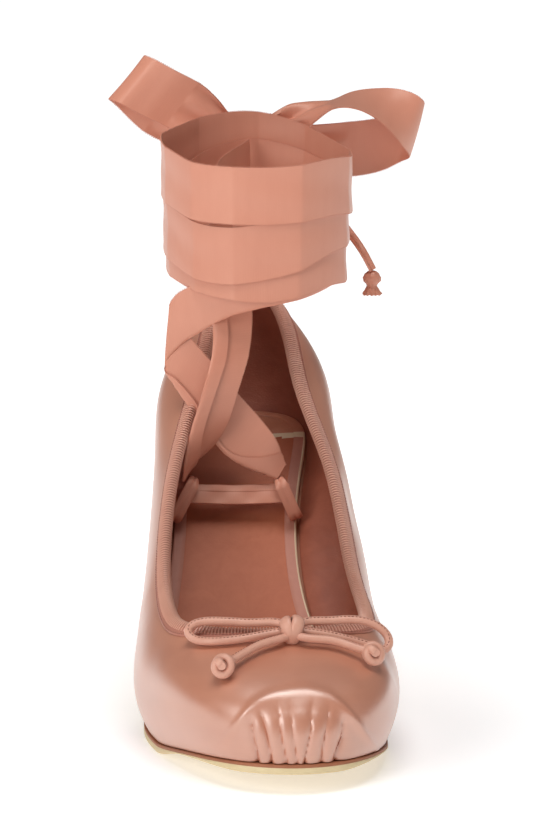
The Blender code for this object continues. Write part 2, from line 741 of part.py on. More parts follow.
def add_vamp_bow():
    throat_y = sections["top_along"][0] * foot_length - ball_from_toe
    middle = np.array([bow_side, throat_y - bow_before_throat, throat_height + 0.0023])
    add_bulb("bow_knot", middle, (bow_knot_radius,) * 3, cord_satin)
    for name, route in (("bow_loop_outer", outer_loop_route), ("bow_loop_inner", inner_loop_route),
                        ("bow_end_outer", outer_end_route), ("bow_end_inner", inner_end_route)):
        add_cord(name, knot_route(route, middle, bow_half_span))
    for name, place in (("bow_end_outer_knot", outer_end_knot), ("bow_end_inner_knot", inner_end_knot)):
        add_bulb(name, middle + np.array(place) * bow_half_span, (end_knot_radius,) * 3, cord_satin)


add_upper()
add_binding()
sole_layer("outsole", -sole_margin, 0, sole_thickness, leather_sole)
insole_level = sole_thickness + clearance
sole_layer("insole", upper_wall + clearance, insole_level, insole_level + insole_thickness, sock_leather)
add_heel()
add_ankle_tie()
add_vamp_bow()
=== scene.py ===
import math
import bpy
import numpy as np
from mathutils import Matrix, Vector


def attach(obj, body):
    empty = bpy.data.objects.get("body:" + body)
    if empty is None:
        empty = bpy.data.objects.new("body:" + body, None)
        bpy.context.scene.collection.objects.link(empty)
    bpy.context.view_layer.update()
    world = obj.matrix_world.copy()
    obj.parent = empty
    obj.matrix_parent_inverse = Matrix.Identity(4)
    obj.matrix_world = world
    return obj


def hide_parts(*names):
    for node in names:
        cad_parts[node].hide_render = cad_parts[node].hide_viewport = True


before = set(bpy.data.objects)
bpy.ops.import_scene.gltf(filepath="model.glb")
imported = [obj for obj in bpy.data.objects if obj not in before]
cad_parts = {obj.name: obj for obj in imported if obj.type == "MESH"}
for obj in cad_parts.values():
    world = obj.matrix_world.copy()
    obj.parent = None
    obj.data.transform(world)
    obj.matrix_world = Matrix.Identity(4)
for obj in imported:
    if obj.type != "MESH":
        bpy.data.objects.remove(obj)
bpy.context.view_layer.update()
scene = bpy.context.scene
scene.view_settings.view_transform = "Standard"
print("frame loaded:", len(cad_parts), "nodes")

# Camera at the photograph's angle
cameraFacts = {"azimuth": -5, "elevation": 11.5, "distance": 1.8, "lens": 227.1, "target": (0.001, 0.008, 0.1108)}


def makeCamera(facts):
    turn, rise = math.radians(facts["azimuth"]), math.radians(facts["elevation"])
    back = Vector((math.sin(turn) * math.cos(rise), -math.cos(turn) * math.cos(rise), math.sin(rise)))
    data = bpy.data.cameras.new("photoCamera")
    data.sensor_width = 36
    data.lens = facts["lens"]
    data.clip_end = 50
    camera = bpy.data.objects.new("photoCamera", data)
    camera.location = Vector(facts["target"]) + back * facts["distance"]
    camera.rotation_euler = (-back).to_track_quat("-Z", "Y").to_euler()
    scene.collection.objects.link(camera)
    scene.camera = camera


makeCamera(cameraFacts)

# The last and its walls, in metres, as in the part's source
shoe = {
    "length": 0.207, "ballFromToe": 0.072, "ballHalf": 0.044, "toeSpring": 0.0070, "heelHeight": 0.0852,
    "throatHeight": 0.0446, "counterTop": 0.1395, "wall": 0.0018, "sole": 0.0034, "sock": 0.0020,
    "margin": 0.0008, "clear": 0.0003, "wrapFoot": 0.1412,
}
treadTable = [
    (0.000, 1.00, 0.000), (0.048, 0.93, 0.000), (0.100, 0.78, 0.000), (0.155, 0.57, 0.000),
    (0.217, 0.28, 0.000), (0.260, 0.08, 0.000), (0.290, 0.00, 0.000), (0.395, 0.00, 0.000),
    (0.435, 0.00, 0.024), (0.478, 0.00, 0.082), (0.551, 0.00, 0.217), (0.626, 0.00, 0.381),
    (0.698, 0.00, 0.557), (0.768, 0.00, 0.734), (0.855, 0.00, 0.915), (0.918, 0.00, 0.968),
    (1.030, 0.00, 1.000),
]
toplineTable = [
    (0.20, 0.000), (0.29, 0.004), (0.362, 0.036), (0.435, 0.099), (0.531, 0.257),
    (0.628, 0.447), (0.725, 0.626), (0.845, 0.826), (0.942, 0.953), (0.990, 1.000),
]
# along, outer, inner, top along, top outer, top inner, fullness low and high, reach low and high
sectionTable = [
    (0.006, 0.07, 0.07, 0.230, 0.00, 0.00, 0.14, 0.14, 0.72, 0.72, 0.70, 0.20),
    (0.043, -0.39, 0.50, 0.232, -0.31, 0.31, 0.15, 0.15, 0.62, 0.62, 0.66, 0.24),
    (0.138, -0.69, 0.745, 0.247, -0.58, 0.56, 0.18, 0.18, 0.40, 0.40, 0.56, 0.28),
    (0.258, -0.88, 0.840, 0.295, -0.76, 0.70, 0.19, 0.20, 0.25, 0.27, 0.44, 0.30),
    (0.386, -0.97, 0.82, 0.386, -0.82, 0.70, 0.20, 0.23, 0.23, 0.27, 0.34, 0.30),
    (0.507, -0.905, 0.58, 0.493, -0.80, 0.65, 0.14, 0.39, 0.21, 0.32, 0.25, 0.34),
    (0.638, -0.76, 0.39, 0.623, -0.67, 0.56, 0.16, 0.55, 0.26, 0.34, 0.25, 0.36),
    (0.763, -0.665, 0.43, 0.754, -0.44, 0.38, 0.19, 0.37, 0.41, 0.40, 0.28, 0.30),
    (0.870, -0.61, 0.525, 0.870, -0.28, 0.31, 0.21, 0.24, 0.43, 0.36, 0.28, 0.24),
    (0.950, -0.41, 0.37, 0.950, -0.17, 0.18, 0.20, 0.19, 0.30, 0.26, 0.27, 0.24),
    (0.978, -0.03, -0.03, 0.988, 0.00, 0.00, 0.20, 0.20, 0.15, 0.15, 0.25, 0.26),
]
tread, toplineRise, section = (np.array(t) for t in (treadTable, toplineTable, sectionTable))


def softCurve(x, xs, ys):
    # smooth curve through the points that never overshoots
    step, slope = np.diff(xs), np.diff(ys) / np.diff(xs)
    tangent = np.zeros(len(xs))
    for i in range(1, len(xs) - 1):
        if slope[i - 1] * slope[i] > 0:
            before, after = 2 * step[i] + step[i - 1], step[i] + 2 * step[i - 1]
            tangent[i] = (before + after) / (before / slope[i - 1] + after / slope[i])
    tangent[0], tangent[-1] = slope[0], slope[-1]
    x = np.clip(np.asarray(x, float), xs[0], xs[-1])
    k = np.clip(np.searchsorted(xs, x) - 1, 0, len(xs) - 2)
    t = (x - xs[k]) / step[k]
    return ((2 * t**3 - 3 * t**2 + 1) * ys[k] + (t**3 - 2 * t**2 + t) * step[k] * tangent[k]
            + (3 * t**2 - 2 * t**3) * ys[k + 1] + (t**3 - t**2) * step[k] * tangent[k + 1])


def ringCurve(knots, values, period, where):
    # closed cubic spline through values at the knots
    n = len(knots)
    step = np.diff(np.append(knots, knots[0] + period))
    lhs, rhs = np.zeros((n, n)), np.zeros(n)
    for i in range(n):
        before, after = step[i - 1], step[i]
        lhs[i, i - 1] += before
        lhs[i, i] += 2 * (before + after)
        lhs[i, (i + 1) % n] += after
        rhs[i] = 6 * ((values[(i + 1) % n] - values[i]) / after - (values[i] - values[i - 1]) / before)
    bend = np.linalg.solve(lhs, rhs)
    w = (np.asarray(where, float) - knots[0]) % period + knots[0]
    i = np.clip(np.searchsorted(knots, w, side="right") - 1, 0, n - 1)
    j = (i + 1) % n
    s = step[i]
    b = (w - knots[i]) / s
    a = 1 - b
    return a * values[i] + b * values[j] + ((a**3 - a) * bend[i] + (b**3 - b) * bend[j]) * s * s / 6


def openCurve(values, count):
    # smooth curve through the rows of values, read at evenly spread places
    values = np.asarray(values, float)
    gap = np.linalg.norm(np.diff(values[:, :3], axis=0), axis=1)
    way = np.concatenate([[0.0], np.cumsum(gap)])
    tangent = np.gradient(values, way, axis=0)
    where = np.linspace(0, way[-1], count)
    k = np.clip(np.searchsorted(way, where) - 1, 0, len(way) - 2)
    step = (way[k + 1] - way[k])[:, None]
    t = (where[:, None] - way[k][:, None]) / step
    return ((2 * t**3 - 3 * t**2 + 1) * values[k] + (t**3 - 2 * t**2 + t) * step * tangent[k]
            + (3 * t**2 - 2 * t**3) * values[k + 1] + (t**3 - t**2) * step * tangent[k + 1])


def unit(vectors):
    return vectors / np.linalg.norm(vectors, axis=-1, keepdims=True)


def bell(x, middle, width):
    return np.exp(-((x - middle) / width)**2)


def smoothStep(x, low, high):
    t = np.clip((x - low) / (high - low), 0, 1)
    return t * t * (3 - 2 * t)


def treadZ(y):
    along = (y + shoe["ballFromToe"]) / shoe["length"]
    return (shoe["toeSpring"] * softCurve(along, tread[:, 0], tread[:, 1])
            + shoe["heelHeight"] * softCurve(along, tread[:, 0], tread[:, 2]))


def levelZ(y, level):
    # height of the surface a level above the tread, measured square to it
    ys = np.linspace(-shoe["ballFromToe"] - 0.02, shoe["length"] - shoe["ballFromToe"] + 0.02, 800)
    zs = treadZ(ys)
    slope = np.gradient(zs, ys)
    length = np.sqrt(1 + slope**2)
    return np.interp(y, ys - level * slope / length, zs + level / length)


def toplineZ(y):
    along = (y + shoe["ballFromToe"]) / shoe["length"]
    rise = softCurve(along, toplineRise[:, 0], toplineRise[:, 1])
    return shoe["throatHeight"] + (shoe["counterTop"] - shoe["throatHeight"]) * rise


def ringKnots():
    y = section[:, 0] * shoe["length"]
    outer, inner = section[:, 1] * shoe["ballHalf"], section[:, 2] * shoe["ballHalf"]
    step = (np.hypot(np.diff(y), np.diff(outer)) + np.hypot(np.diff(y), np.diff(inner))) / 2
    way = np.concatenate([[0.0], np.cumsum(step)])
    return np.concatenate([way, 2 * way[-1] - way[-2:0:-1]]), 2 * way[-1]


ringWay, ringLength = ringKnots()


def readRing(low, high, where):
    values = np.concatenate([section[:, low], section[:, high][-2:0:-1]])
    return ringCurve(ringWay, values, ringLength, where)


def featherPlan(where):
    return (readRing(1, 2, where) * shoe["ballHalf"],
            readRing(0, 0, where) * shoe["length"] - shoe["ballFromToe"])


def planNormals(x, y):
    dx, dy = np.roll(x, -1) - np.roll(x, 1), np.roll(y, -1) - np.roll(y, 1)
    length = np.hypot(dx, dy)
    return -dy / length, dx / length


def wallGrid(where, heights):
    # the upper's outside: rows go up the wall, columns run toe, outer side, heel, inner side
    x, y = featherPlan(where)
    z = levelZ(y, shoe["sole"] + shoe["clear"])
    nx, ny = planNormals(x, y)
    tx = readRing(4, 5, where) * shoe["ballHalf"]
    ty = readRing(3, 3, where) * shoe["length"] - shoe["ballFromToe"]
    tz = toplineZ(ty)
    low, high = (readRing(a, b, where) * shoe["ballHalf"] for a, b in ((6, 7), (8, 9)))
    lowUp, highUp = (readRing(a, a, where) * (tz - z) for a in (10, 11))
    feather = np.stack([x, y, z], 1)
    lower = np.stack([x + nx * low, y + ny * low, z + lowUp], 1)
    upper = np.stack([tx + nx * high, ty + ny * high, tz - highUp], 1)
    top = np.stack([tx, ty, tz], 1)
    v = np.asarray(heights)[:, None, None]
    a = 1 - v
    return a**3 * feather + 3 * a * a * v * lower + 3 * a * v * v * upper + v**3 * top


def gridNormals(grid):
    around = np.roll(grid, -1, axis=1) - np.roll(grid, 1, axis=1)
    return unit(np.cross(np.gradient(grid, axis=0), around))


def belowEdge(grid, values, width):
    # values of a wall's grid at this distance below its top edge
    length = np.linalg.norm(np.diff(grid, axis=0), axis=2)
    down = np.concatenate([np.cumsum(length[::-1], axis=0)[::-1], np.zeros((1, grid.shape[1]))])
    result = np.empty_like(values[0])
    for i in range(grid.shape[1]):
        for axis in range(values.shape[2]):
            result[i, axis] = np.interp(-width, -down[:, i], values[:, i, axis])
    return result


# Mesh helpers
def gridFaces(rows, cols, closeRows, closeCols, flip=False):
    # quads of a grid of points and the unwrapped row and column of each corner
    r, c = np.meshgrid(np.arange(rows if closeRows else rows - 1),
                       np.arange(cols if closeCols else cols - 1), indexing="ij")
    r, c = r.ravel(), c.ravel()
    corners = [(r, c), (r, c + 1), (r + 1, c + 1), (r + 1, c)]
    if flip:
        corners = corners[::-1]
    faces = np.stack([(a % rows) * cols + b % cols for a, b in corners], 1)
    places = np.stack([np.stack([a, b], 1) for a, b in corners], 1)
    return faces, places


def makePiece(name, points, faces, uvs, materials, slots=None):
    # one mesh object at the origin; uvs holds one pair for each face corner
    mesh = bpy.data.meshes.new(name)
    mesh.from_pydata(np.asarray(points).reshape(-1, 3).tolist(), [], [list(f) for f in faces])
    layer = mesh.uv_layers.new(name="cut")
    layer.data.foreach_set("uv", np.asarray(uvs, float).ravel())
    for material in materials:
        mesh.materials.append(material)
    if slots is not None:
        mesh.polygons.foreach_set("material_index", np.asarray(slots, dtype=np.int32))
    mesh.shade_smooth()
    mesh.set_sharp_from_angle(angle=math.radians(48))
    mesh.update()
    thing = bpy.data.objects.new(name, mesh)
    scene.collection.objects.link(thing)
    return thing


def gridPiece(name, grid, uv, closeRows, closeCols, materials, slotOfRow=None, flip=False, ends=False):
    # a grid of points as a surface; uv has a row and column more where the grid closes
    rows, cols = grid.shape[:2]
    faces, places = gridFaces(rows, cols, closeRows, closeCols, flip)
    uvs = [uv[place[:, 0], place[:, 1]] for place in places]
    slots = None if slotOfRow is None else [slotOfRow[place[:, 0].min()] for place in places]
    faces, uvs = faces.tolist(), [list(map(tuple, u)) for u in uvs]
    if ends:  # pair the front and back points of the first and last ring
        for r, turned in ((0, not flip), (rows - 1, flip)):
            for k in range(cols // 2 - 1):
                quad = [(r, k), (r, k + 1), (r, cols - 2 - k), (r, cols - 1 - k)]
                quad = quad[::-1] if turned else quad
                faces.append([a * cols + b for a, b in quad])
                uvs.append([tuple(uv[a, b]) for a, b in quad])
                if slots is not None:
                    slots.append(slots[0])
    return makePiece(name, grid, faces, [corner for face in uvs for corner in face], materials, slots)


def arcUv(grid, closeRows=False, closeCols=False):
    # lengths along the columns and up the rows, in metres, so cloth keeps its scale
    rows, cols = grid.shape[:2]
    around = np.linalg.norm(np.diff(grid, axis=1, append=grid[:, :1]), axis=2).mean(0)
    up = np.linalg.norm(np.diff(grid, axis=0, append=grid[:1]), axis=2).mean(1)
    u = np.concatenate([[0], np.cumsum(around)])[:cols + closeCols]
    v = np.concatenate([[0], np.cumsum(up)])[:rows + closeRows]
    return np.stack(np.meshgrid(u, v), -1)


# Shader helpers and shared groups
def srgb(r, g, b):
    return tuple(c / 12.92 if c <= 0.04045 else ((c + 0.055) / 1.055)**2.4 for c in (r / 255, g / 255, b / 255)) + (1,)


def put(tree, kind, inputs=None, **settings):
    node = tree.nodes.new(kind)
    for key, value in settings.items():
        setattr(node, key, value)
    for key, value in (inputs or {}).items():
        socket = node.inputs[key]
        if isinstance(value, bpy.types.NodeSocket):
            tree.links.new(value, socket)
        else:
            socket.default_value = value
    return node


def newGroup(name, kind, takes, gives):
    tree = bpy.data.node_groups.new(name, kind)
    for label, form in takes:
        tree.interface.new_socket(label, in_out="INPUT", socket_type=form)
    for label, form in gives:
        tree.interface.new_socket(label, in_out="OUTPUT", socket_type=form)
    return tree, tree.nodes.new("NodeGroupInput"), tree.nodes.new("NodeGroupOutput")


def maths(tree, operation, *values):
    return put(tree, "ShaderNodeMath", dict(enumerate(values)), operation=operation).outputs[0]


def buildWeave():
    # warp and weft threads with slubs: a height for bump and a shade for colour
    tree, taken, given = newGroup("threadWeave", "ShaderNodeTree",
                                  [("Vector", "NodeSocketVector"), ("Threads", "NodeSocketFloat"),
                                   ("Float", "NodeSocketFloat"), ("Slubs", "NodeSocketFloat")],
                                  [("Height", "NodeSocketFloat"), ("Shade", "NodeSocketFloat")])
    stretched = put(tree, "ShaderNodeVectorMath", {0: taken.outputs["Vector"]}, operation="MULTIPLY")
    ratio = put(tree, "ShaderNodeCombineXYZ", {"X": taken.outputs["Float"], "Y": 1.0, "Z": 1.0})
    tree.links.new(ratio.outputs[0], stretched.inputs[1])
    warp = put(tree, "ShaderNodeTexNoise", {"Vector": stretched.outputs[0], "Scale": taken.outputs["Threads"], "Detail": 1.0})
    weft = put(tree, "ShaderNodeTexWave", {"Vector": taken.outputs["Vector"], "Scale": maths(tree, "MULTIPLY", taken.outputs["Threads"], 0.16), "Distortion": 1.5, "Detail": 1.0}, bands_direction="Y")
    height = maths(tree, "ADD", maths(tree, "MULTIPLY", warp.outputs[0], 0.7), maths(tree, "MULTIPLY", weft.outputs["Fac"], 0.3))
    slubs = put(tree, "ShaderNodeTexNoise", {"Vector": stretched.outputs[0], "Scale": maths(tree, "MULTIPLY", taken.outputs["Threads"], 0.08), "Detail": 3.0})
    shade = maths(tree, "ADD", maths(tree, "MULTIPLY", slubs.outputs[0], taken.outputs["Slubs"]), maths(tree, "MULTIPLY", height, 0.25))
    tree.links.new(height, given.inputs["Height"])
    tree.links.new(shade, given.inputs["Shade"])
    return tree


def buildNap():
    # broad uneven patches, where cloth or leather has been handled
    tree, taken, given = newGroup("softPatches", "ShaderNodeTree",
                                  [("Vector", "NodeSocketVector"), ("Scale", "NodeSocketFloat"), ("Contrast", "NodeSocketFloat")],
                                  [("Mask", "NodeSocketFloat")])
    broad = put(tree, "ShaderNodeTexNoise", {"Vector": taken.outputs["Vector"], "Scale": taken.outputs["Scale"], "Detail": 4.0, "Roughness": 0.55, "Distortion": 0.4})
    centred = maths(tree, "SUBTRACT", broad.outputs[0], 0.5)
    mask = maths(tree, "ADD", maths(tree, "MULTIPLY", centred, taken.outputs["Contrast"]), 0.5)
    mask.node.use_clamp = True
    tree.links.new(mask, given.inputs["Mask"])
    return tree


def buildGrain():
    # pebbled leather with creases
    tree, taken, given = newGroup("leatherGrain", "ShaderNodeTree",
                                  [("Vector", "NodeSocketVector"), ("Scale", "NodeSocketFloat"), ("Creases", "NodeSocketFloat")],
                                  [("Height", "NodeSocketFloat"), ("Shade", "NodeSocketFloat")])
    cells = put(tree, "ShaderNodeTexVoronoi", {"Vector": taken.outputs["Vector"], "Scale": taken.outputs["Scale"]}, feature="DISTANCE_TO_EDGE")
    pores = put(tree, "ShaderNodeTexNoise", {"Vector": taken.outputs["Vector"], "Scale": maths(tree, "MULTIPLY", taken.outputs["Scale"], 0.6), "Detail": 4.0})
    folds = put(tree, "ShaderNodeTexNoise", {"Vector": taken.outputs["Vector"], "Scale": maths(tree, "MULTIPLY", taken.outputs["Scale"], 0.12), "Detail": 3.0, "Distortion": 1.2})
    height = maths(tree, "ADD", maths(tree, "MULTIPLY", cells.outputs[0], 0.8), maths(tree, "MULTIPLY", pores.outputs[0], 0.5))
    height = maths(tree, "ADD", height, maths(tree, "MULTIPLY", folds.outputs[0], taken.outputs["Creases"]))
    tree.links.new(height, given.inputs["Height"])
    tree.links.new(maths(tree, "ADD", maths(tree, "MULTIPLY", folds.outputs[0], 0.7), maths(tree, "MULTIPLY", pores.outputs[0], 0.3)), given.inputs["Shade"])
    return tree


weaveGroup, napGroup, grainGroup = buildWeave(), buildNap(), buildGrain()


def startMaterial(name, finish):
    # a Principled material whose plain values stand on its own sockets
    material = bpy.data.materials.new(name)
    material.use_nodes = True
    tree = material.node_tree
    shader = tree.nodes["Principled BSDF"]
    for key, value in finish.items():
        shader.inputs[key].default_value = value
    return material, tree, shader


def mixColours(tree, factor, first, second):
    node = put(tree, "ShaderNodeMix", {"Factor": factor}, data_type="RGBA")
    for key, value in (("A_Color", first), ("B_Color", second)):  # the colour sockets share their names with others
        socket = next(s for s in node.inputs if s.identifier == key)
        if isinstance(value, bpy.types.NodeSocket):
            tree.links.new(value, socket)
        else:
            socket.default_value = value
    return next(s for s in node.outputs if s.identifier == "Result_Color")


def spread(tree, value, low, high):
    return put(tree, "ShaderNodeMapRange", {"Value": value, "To Min": low, "To Max": high}).outputs[0]


def clothMaterial(name, facts, finish):
    # satin or ribbon: warp threads in the cut's own lengths, uneven nap and gloss
    material, tree, shader = startMaterial(name, finish)
    where = put(tree, "ShaderNodeUVMap", uv_map="cut").outputs[0]
    place = put(tree, "ShaderNodeTexCoord").outputs["Object"]
    weave = put(tree, "ShaderNodeGroup", node_tree=weaveGroup)
    for key, value in (("Threads", facts["threads"]), ("Float", facts["float"]), ("Slubs", facts["slubs"])):
        weave.inputs[key].default_value = value
    tree.links.new(where, weave.inputs["Vector"])
    nap = put(tree, "ShaderNodeGroup", node_tree=napGroup)
    nap.inputs["Scale"].default_value = facts["napScale"]
    nap.inputs["Contrast"].default_value = facts["napContrast"]
    tree.links.new(place, nap.inputs["Vector"])
    broad = mixColours(tree, nap.outputs["Mask"], facts["deep"], facts["pale"])
    fine = mixColours(tree, weave.outputs["Shade"], facts["thread"], broad)
    tree.links.new(mixColours(tree, facts["threadShare"], broad, fine), shader.inputs["Base Color"])
    gloss = maths(tree, "ADD", maths(tree, "MULTIPLY", nap.outputs["Mask"], 0.5), maths(tree, "MULTIPLY", weave.outputs["Shade"], 0.5))
    tree.links.new(spread(tree, gloss, facts["smooth"], facts["rough"]), shader.inputs["Roughness"])
    bump = put(tree, "ShaderNodeBump", {"Height": weave.outputs["Height"], "Strength": facts["bump"], "Distance": 0.0001})
    tree.links.new(bump.outputs[0], shader.inputs["Normal"])
    return material


def leatherMaterial(name, facts, finish):
    material, tree, shader = startMaterial(name, finish)
    place = put(tree, "ShaderNodeTexCoord").outputs["Object"]
    turned = put(tree, "ShaderNodeMapping", {"Vector": place, "Scale": facts["stretch"]}).outputs[0]
    grain = put(tree, "ShaderNodeGroup", node_tree=grainGroup)
    grain.inputs["Scale"].default_value = facts["grain"]
    grain.inputs["Creases"].default_value = facts["creases"]
    tree.links.new(turned, grain.inputs["Vector"])
    nap = put(tree, "ShaderNodeGroup", node_tree=napGroup)
    nap.inputs["Scale"].default_value = facts["napScale"]
    nap.inputs["Contrast"].default_value = facts["napContrast"]
    tree.links.new(place, nap.inputs["Vector"])
    broad = mixColours(tree, nap.outputs["Mask"], facts["deep"], facts["pale"])
    tree.links.new(mixColours(tree, spread(tree, grain.outputs["Shade"], 0.0, facts["grainShare"]), broad, facts["pore"]), shader.inputs["Base Color"])
    tree.links.new(spread(tree, nap.outputs["Mask"], facts["smooth"], facts["rough"]), shader.inputs["Roughness"])
    bump = put(tree, "ShaderNodeBump", {"Height": grain.outputs["Height"], "Strength": facts["bump"], "Distance": 0.0002})
    tree.links.new(bump.outputs[0], shader.inputs["Normal"])
    return material


satin = clothMaterial("roseSatin", {
    "threads": 2400.0, "float": 0.16, "slubs": 0.8, "napScale": 55.0, "napContrast": 1.2,
    "deep": srgb(194, 122, 92), "pale": srgb(212, 144, 113), "thread": srgb(178, 102, 76), "threadShare": 0.45,
    "smooth": 0.32, "rough": 0.47, "bump": 0.25,
}, {"Sheen Weight": 0.05, "Sheen Roughness": 0.4, "Sheen Tint": srgb(255, 232, 206), "IOR": 1.8, "Specular Tint": srgb(255, 244, 226), "Coat Weight": 1.0, "Coat IOR": 2.1, "Coat Roughness": 0.37})
ribbonSatin = clothMaterial("ribbonSatin", {
    "threads": 2200.0, "float": 0.12, "slubs": 0.7, "napScale": 40.0, "napContrast": 0.9,
    "deep": srgb(204, 134, 110), "pale": srgb(218, 153, 129), "thread": srgb(186, 113, 91), "threadShare": 0.4,
    "smooth": 0.36, "rough": 0.50, "bump": 0.22,
}, {"Sheen Weight": 0.1, "Sheen Roughness": 0.4, "Sheen Tint": srgb(255, 234, 214), "Specular Tint": srgb(255, 242, 226), "Coat Weight": 0.15, "Coat Roughness": 0.35})
grosgrain = clothMaterial("grosgrain", {
    "threads": 1500.0, "float": 0.5, "slubs": 0.9, "napScale": 90.0, "napContrast": 1.2,
    "deep": srgb(176, 112, 92), "pale": srgb(194, 130, 110), "thread": srgb(156, 92, 75), "threadShare": 0.5,
    "smooth": 0.45, "rough": 0.62, "bump": 0.4,
}, {"Sheen Weight": 0.1, "Sheen Roughness": 0.5})
ribThread = clothMaterial("ribThread", {
    "threads": 3000.0, "float": 0.3, "slubs": 0.8, "napScale": 90.0, "napContrast": 1.2,
    "deep": srgb(214, 158, 136), "pale": srgb(230, 180, 158), "thread": srgb(190, 130, 108), "threadShare": 0.5,
    "smooth": 0.38, "rough": 0.55, "bump": 0.3,
}, {"Sheen Weight": 0.1, "Sheen Roughness": 0.4, "Coat Weight": 0.2, "Coat Roughness": 0.35})
cordSatin = clothMaterial("cordSatin", {
    "threads": 2000.0, "float": 0.2, "slubs": 0.9, "napScale": 120.0, "napContrast": 1.2,
    "deep": srgb(214, 156, 134), "pale": srgb(228, 176, 152), "thread": srgb(190, 124, 104), "threadShare": 0.5,
    "smooth": 0.32, "rough": 0.48, "bump": 0.35,
}, {"Sheen Weight": 0.12, "Sheen Roughness": 0.4})
# sewing thread painted darker than the cloth: painted shade of the stitch pits along the seams
stitchShadeThread = clothMaterial("sewingThreadPaintedShade", {
    "threads": 5000.0, "float": 0.4, "slubs": 0.6, "napScale": 200.0, "napContrast": 1.0,
    "deep": srgb(146, 84, 66), "pale": srgb(170, 106, 86), "thread": srgb(120, 64, 50), "threadShare": 0.5,
    "smooth": 0.4, "rough": 0.55, "bump": 0.3,
}, {"Sheen Weight": 0.1})
liningLeather = leatherMaterial("liningLeather", {
    "stretch": (1.0, 0.6, 1.4), "grain": 900.0, "creases": 2.4, "napScale": 35.0, "napContrast": 1.4,
    "deep": srgb(158, 88, 66), "pale": srgb(186, 110, 84), "pore": srgb(122, 60, 44), "grainShare": 0.6,
    "smooth": 0.42, "rough": 0.6, "bump": 0.5,
}, {"Specular IOR Level": 0.4})
sockLeather = leatherMaterial("sockLeather", {
    "stretch": (1.0, 1.0, 1.0), "grain": 1100.0, "creases": 1.0, "napScale": 30.0, "napContrast": 1.2,
    "deep": srgb(184, 102, 70), "pale": srgb(204, 122, 88), "pore": srgb(154, 78, 50), "grainShare": 0.5,
    "smooth": 0.46, "rough": 0.60, "bump": 0.35,
}, {"Specular IOR Level": 0.3})
# heel pad leather, lighter than the sock: partly its own paler leather, partly painted light where the heel seat
# catches light
padLeatherPaintedLight = leatherMaterial("padLeatherPaintedLight", {
    "stretch": (1.0, 0.6, 1.0), "grain": 1000.0, "creases": 2.2, "napScale": 60.0, "napContrast": 1.8,
    "deep": srgb(182, 112, 84), "pale": srgb(216, 148, 116), "pore": srgb(150, 84, 62), "grainShare": 0.5,
    "smooth": 0.36, "rough": 0.52, "bump": 0.5,
}, {"Specular IOR Level": 0.5, "Coat Weight": 0.1, "Coat Roughness": 0.35})
sockEdge = leatherMaterial("sockEdge", {
    "stretch": (1.0, 1.0, 1.0), "grain": 1400.0, "creases": 0.6, "napScale": 60.0, "napContrast": 1.0,
    "deep": srgb(190, 124, 104), "pale": srgb(206, 144, 122), "pore": srgb(160, 96, 78), "grainShare": 0.4,
    "smooth": 0.45, "rough": 0.6, "bump": 0.3,
}, {"Specular IOR Level": 0.4})
paleEdge = leatherMaterial("paleEdge", {
    "stretch": (1.0, 1.0, 1.0), "grain": 1400.0, "creases": 0.6, "napScale": 60.0, "napContrast": 1.0,
    "deep": srgb(232, 208, 172), "pale": srgb(240, 222, 192), "pore": srgb(204, 172, 134), "grainShare": 0.4,
    "smooth": 0.45, "rough": 0.6, "bump": 0.3,
}, {"Specular IOR Level": 0.4})
soleLeather = leatherMaterial("soleLeather", {
    "stretch": (1.0, 1.0, 3.0), "grain": 1300.0, "creases": 0.5, "napScale": 60.0, "napContrast": 1.3,
    "deep": srgb(226, 204, 158), "pale": srgb(240, 224, 184), "pore": srgb(196, 164, 116), "grainShare": 0.5,
    "smooth": 0.45, "rough": 0.65, "bump": 0.35,
}, {"Specular IOR Level": 0.4})
soleStain = leatherMaterial("soleStain", {
    "stretch": (1.0, 1.0, 3.0), "grain": 1300.0, "creases": 0.5, "napScale": 60.0, "napContrast": 1.3,
    "deep": srgb(160, 96, 64), "pale": srgb(188, 122, 88), "pore": srgb(128, 72, 46), "grainShare": 0.5,
    "smooth": 0.45, "rough": 0.6, "bump": 0.35,
}, {"Specular IOR Level": 0.4})
liftRubber = leatherMaterial("liftRubber", {
    "stretch": (1.0, 1.0, 1.0), "grain": 2600.0, "creases": 0.4, "napScale": 90.0, "napContrast": 1.4,
    "deep": srgb(120, 84, 66), "pale": srgb(142, 102, 82), "pore": srgb(92, 62, 48), "grainShare": 0.5,
    "smooth": 0.5, "rough": 0.72, "bump": 0.3,
}, {"Specular IOR Level": 0.4})
print("materials made")


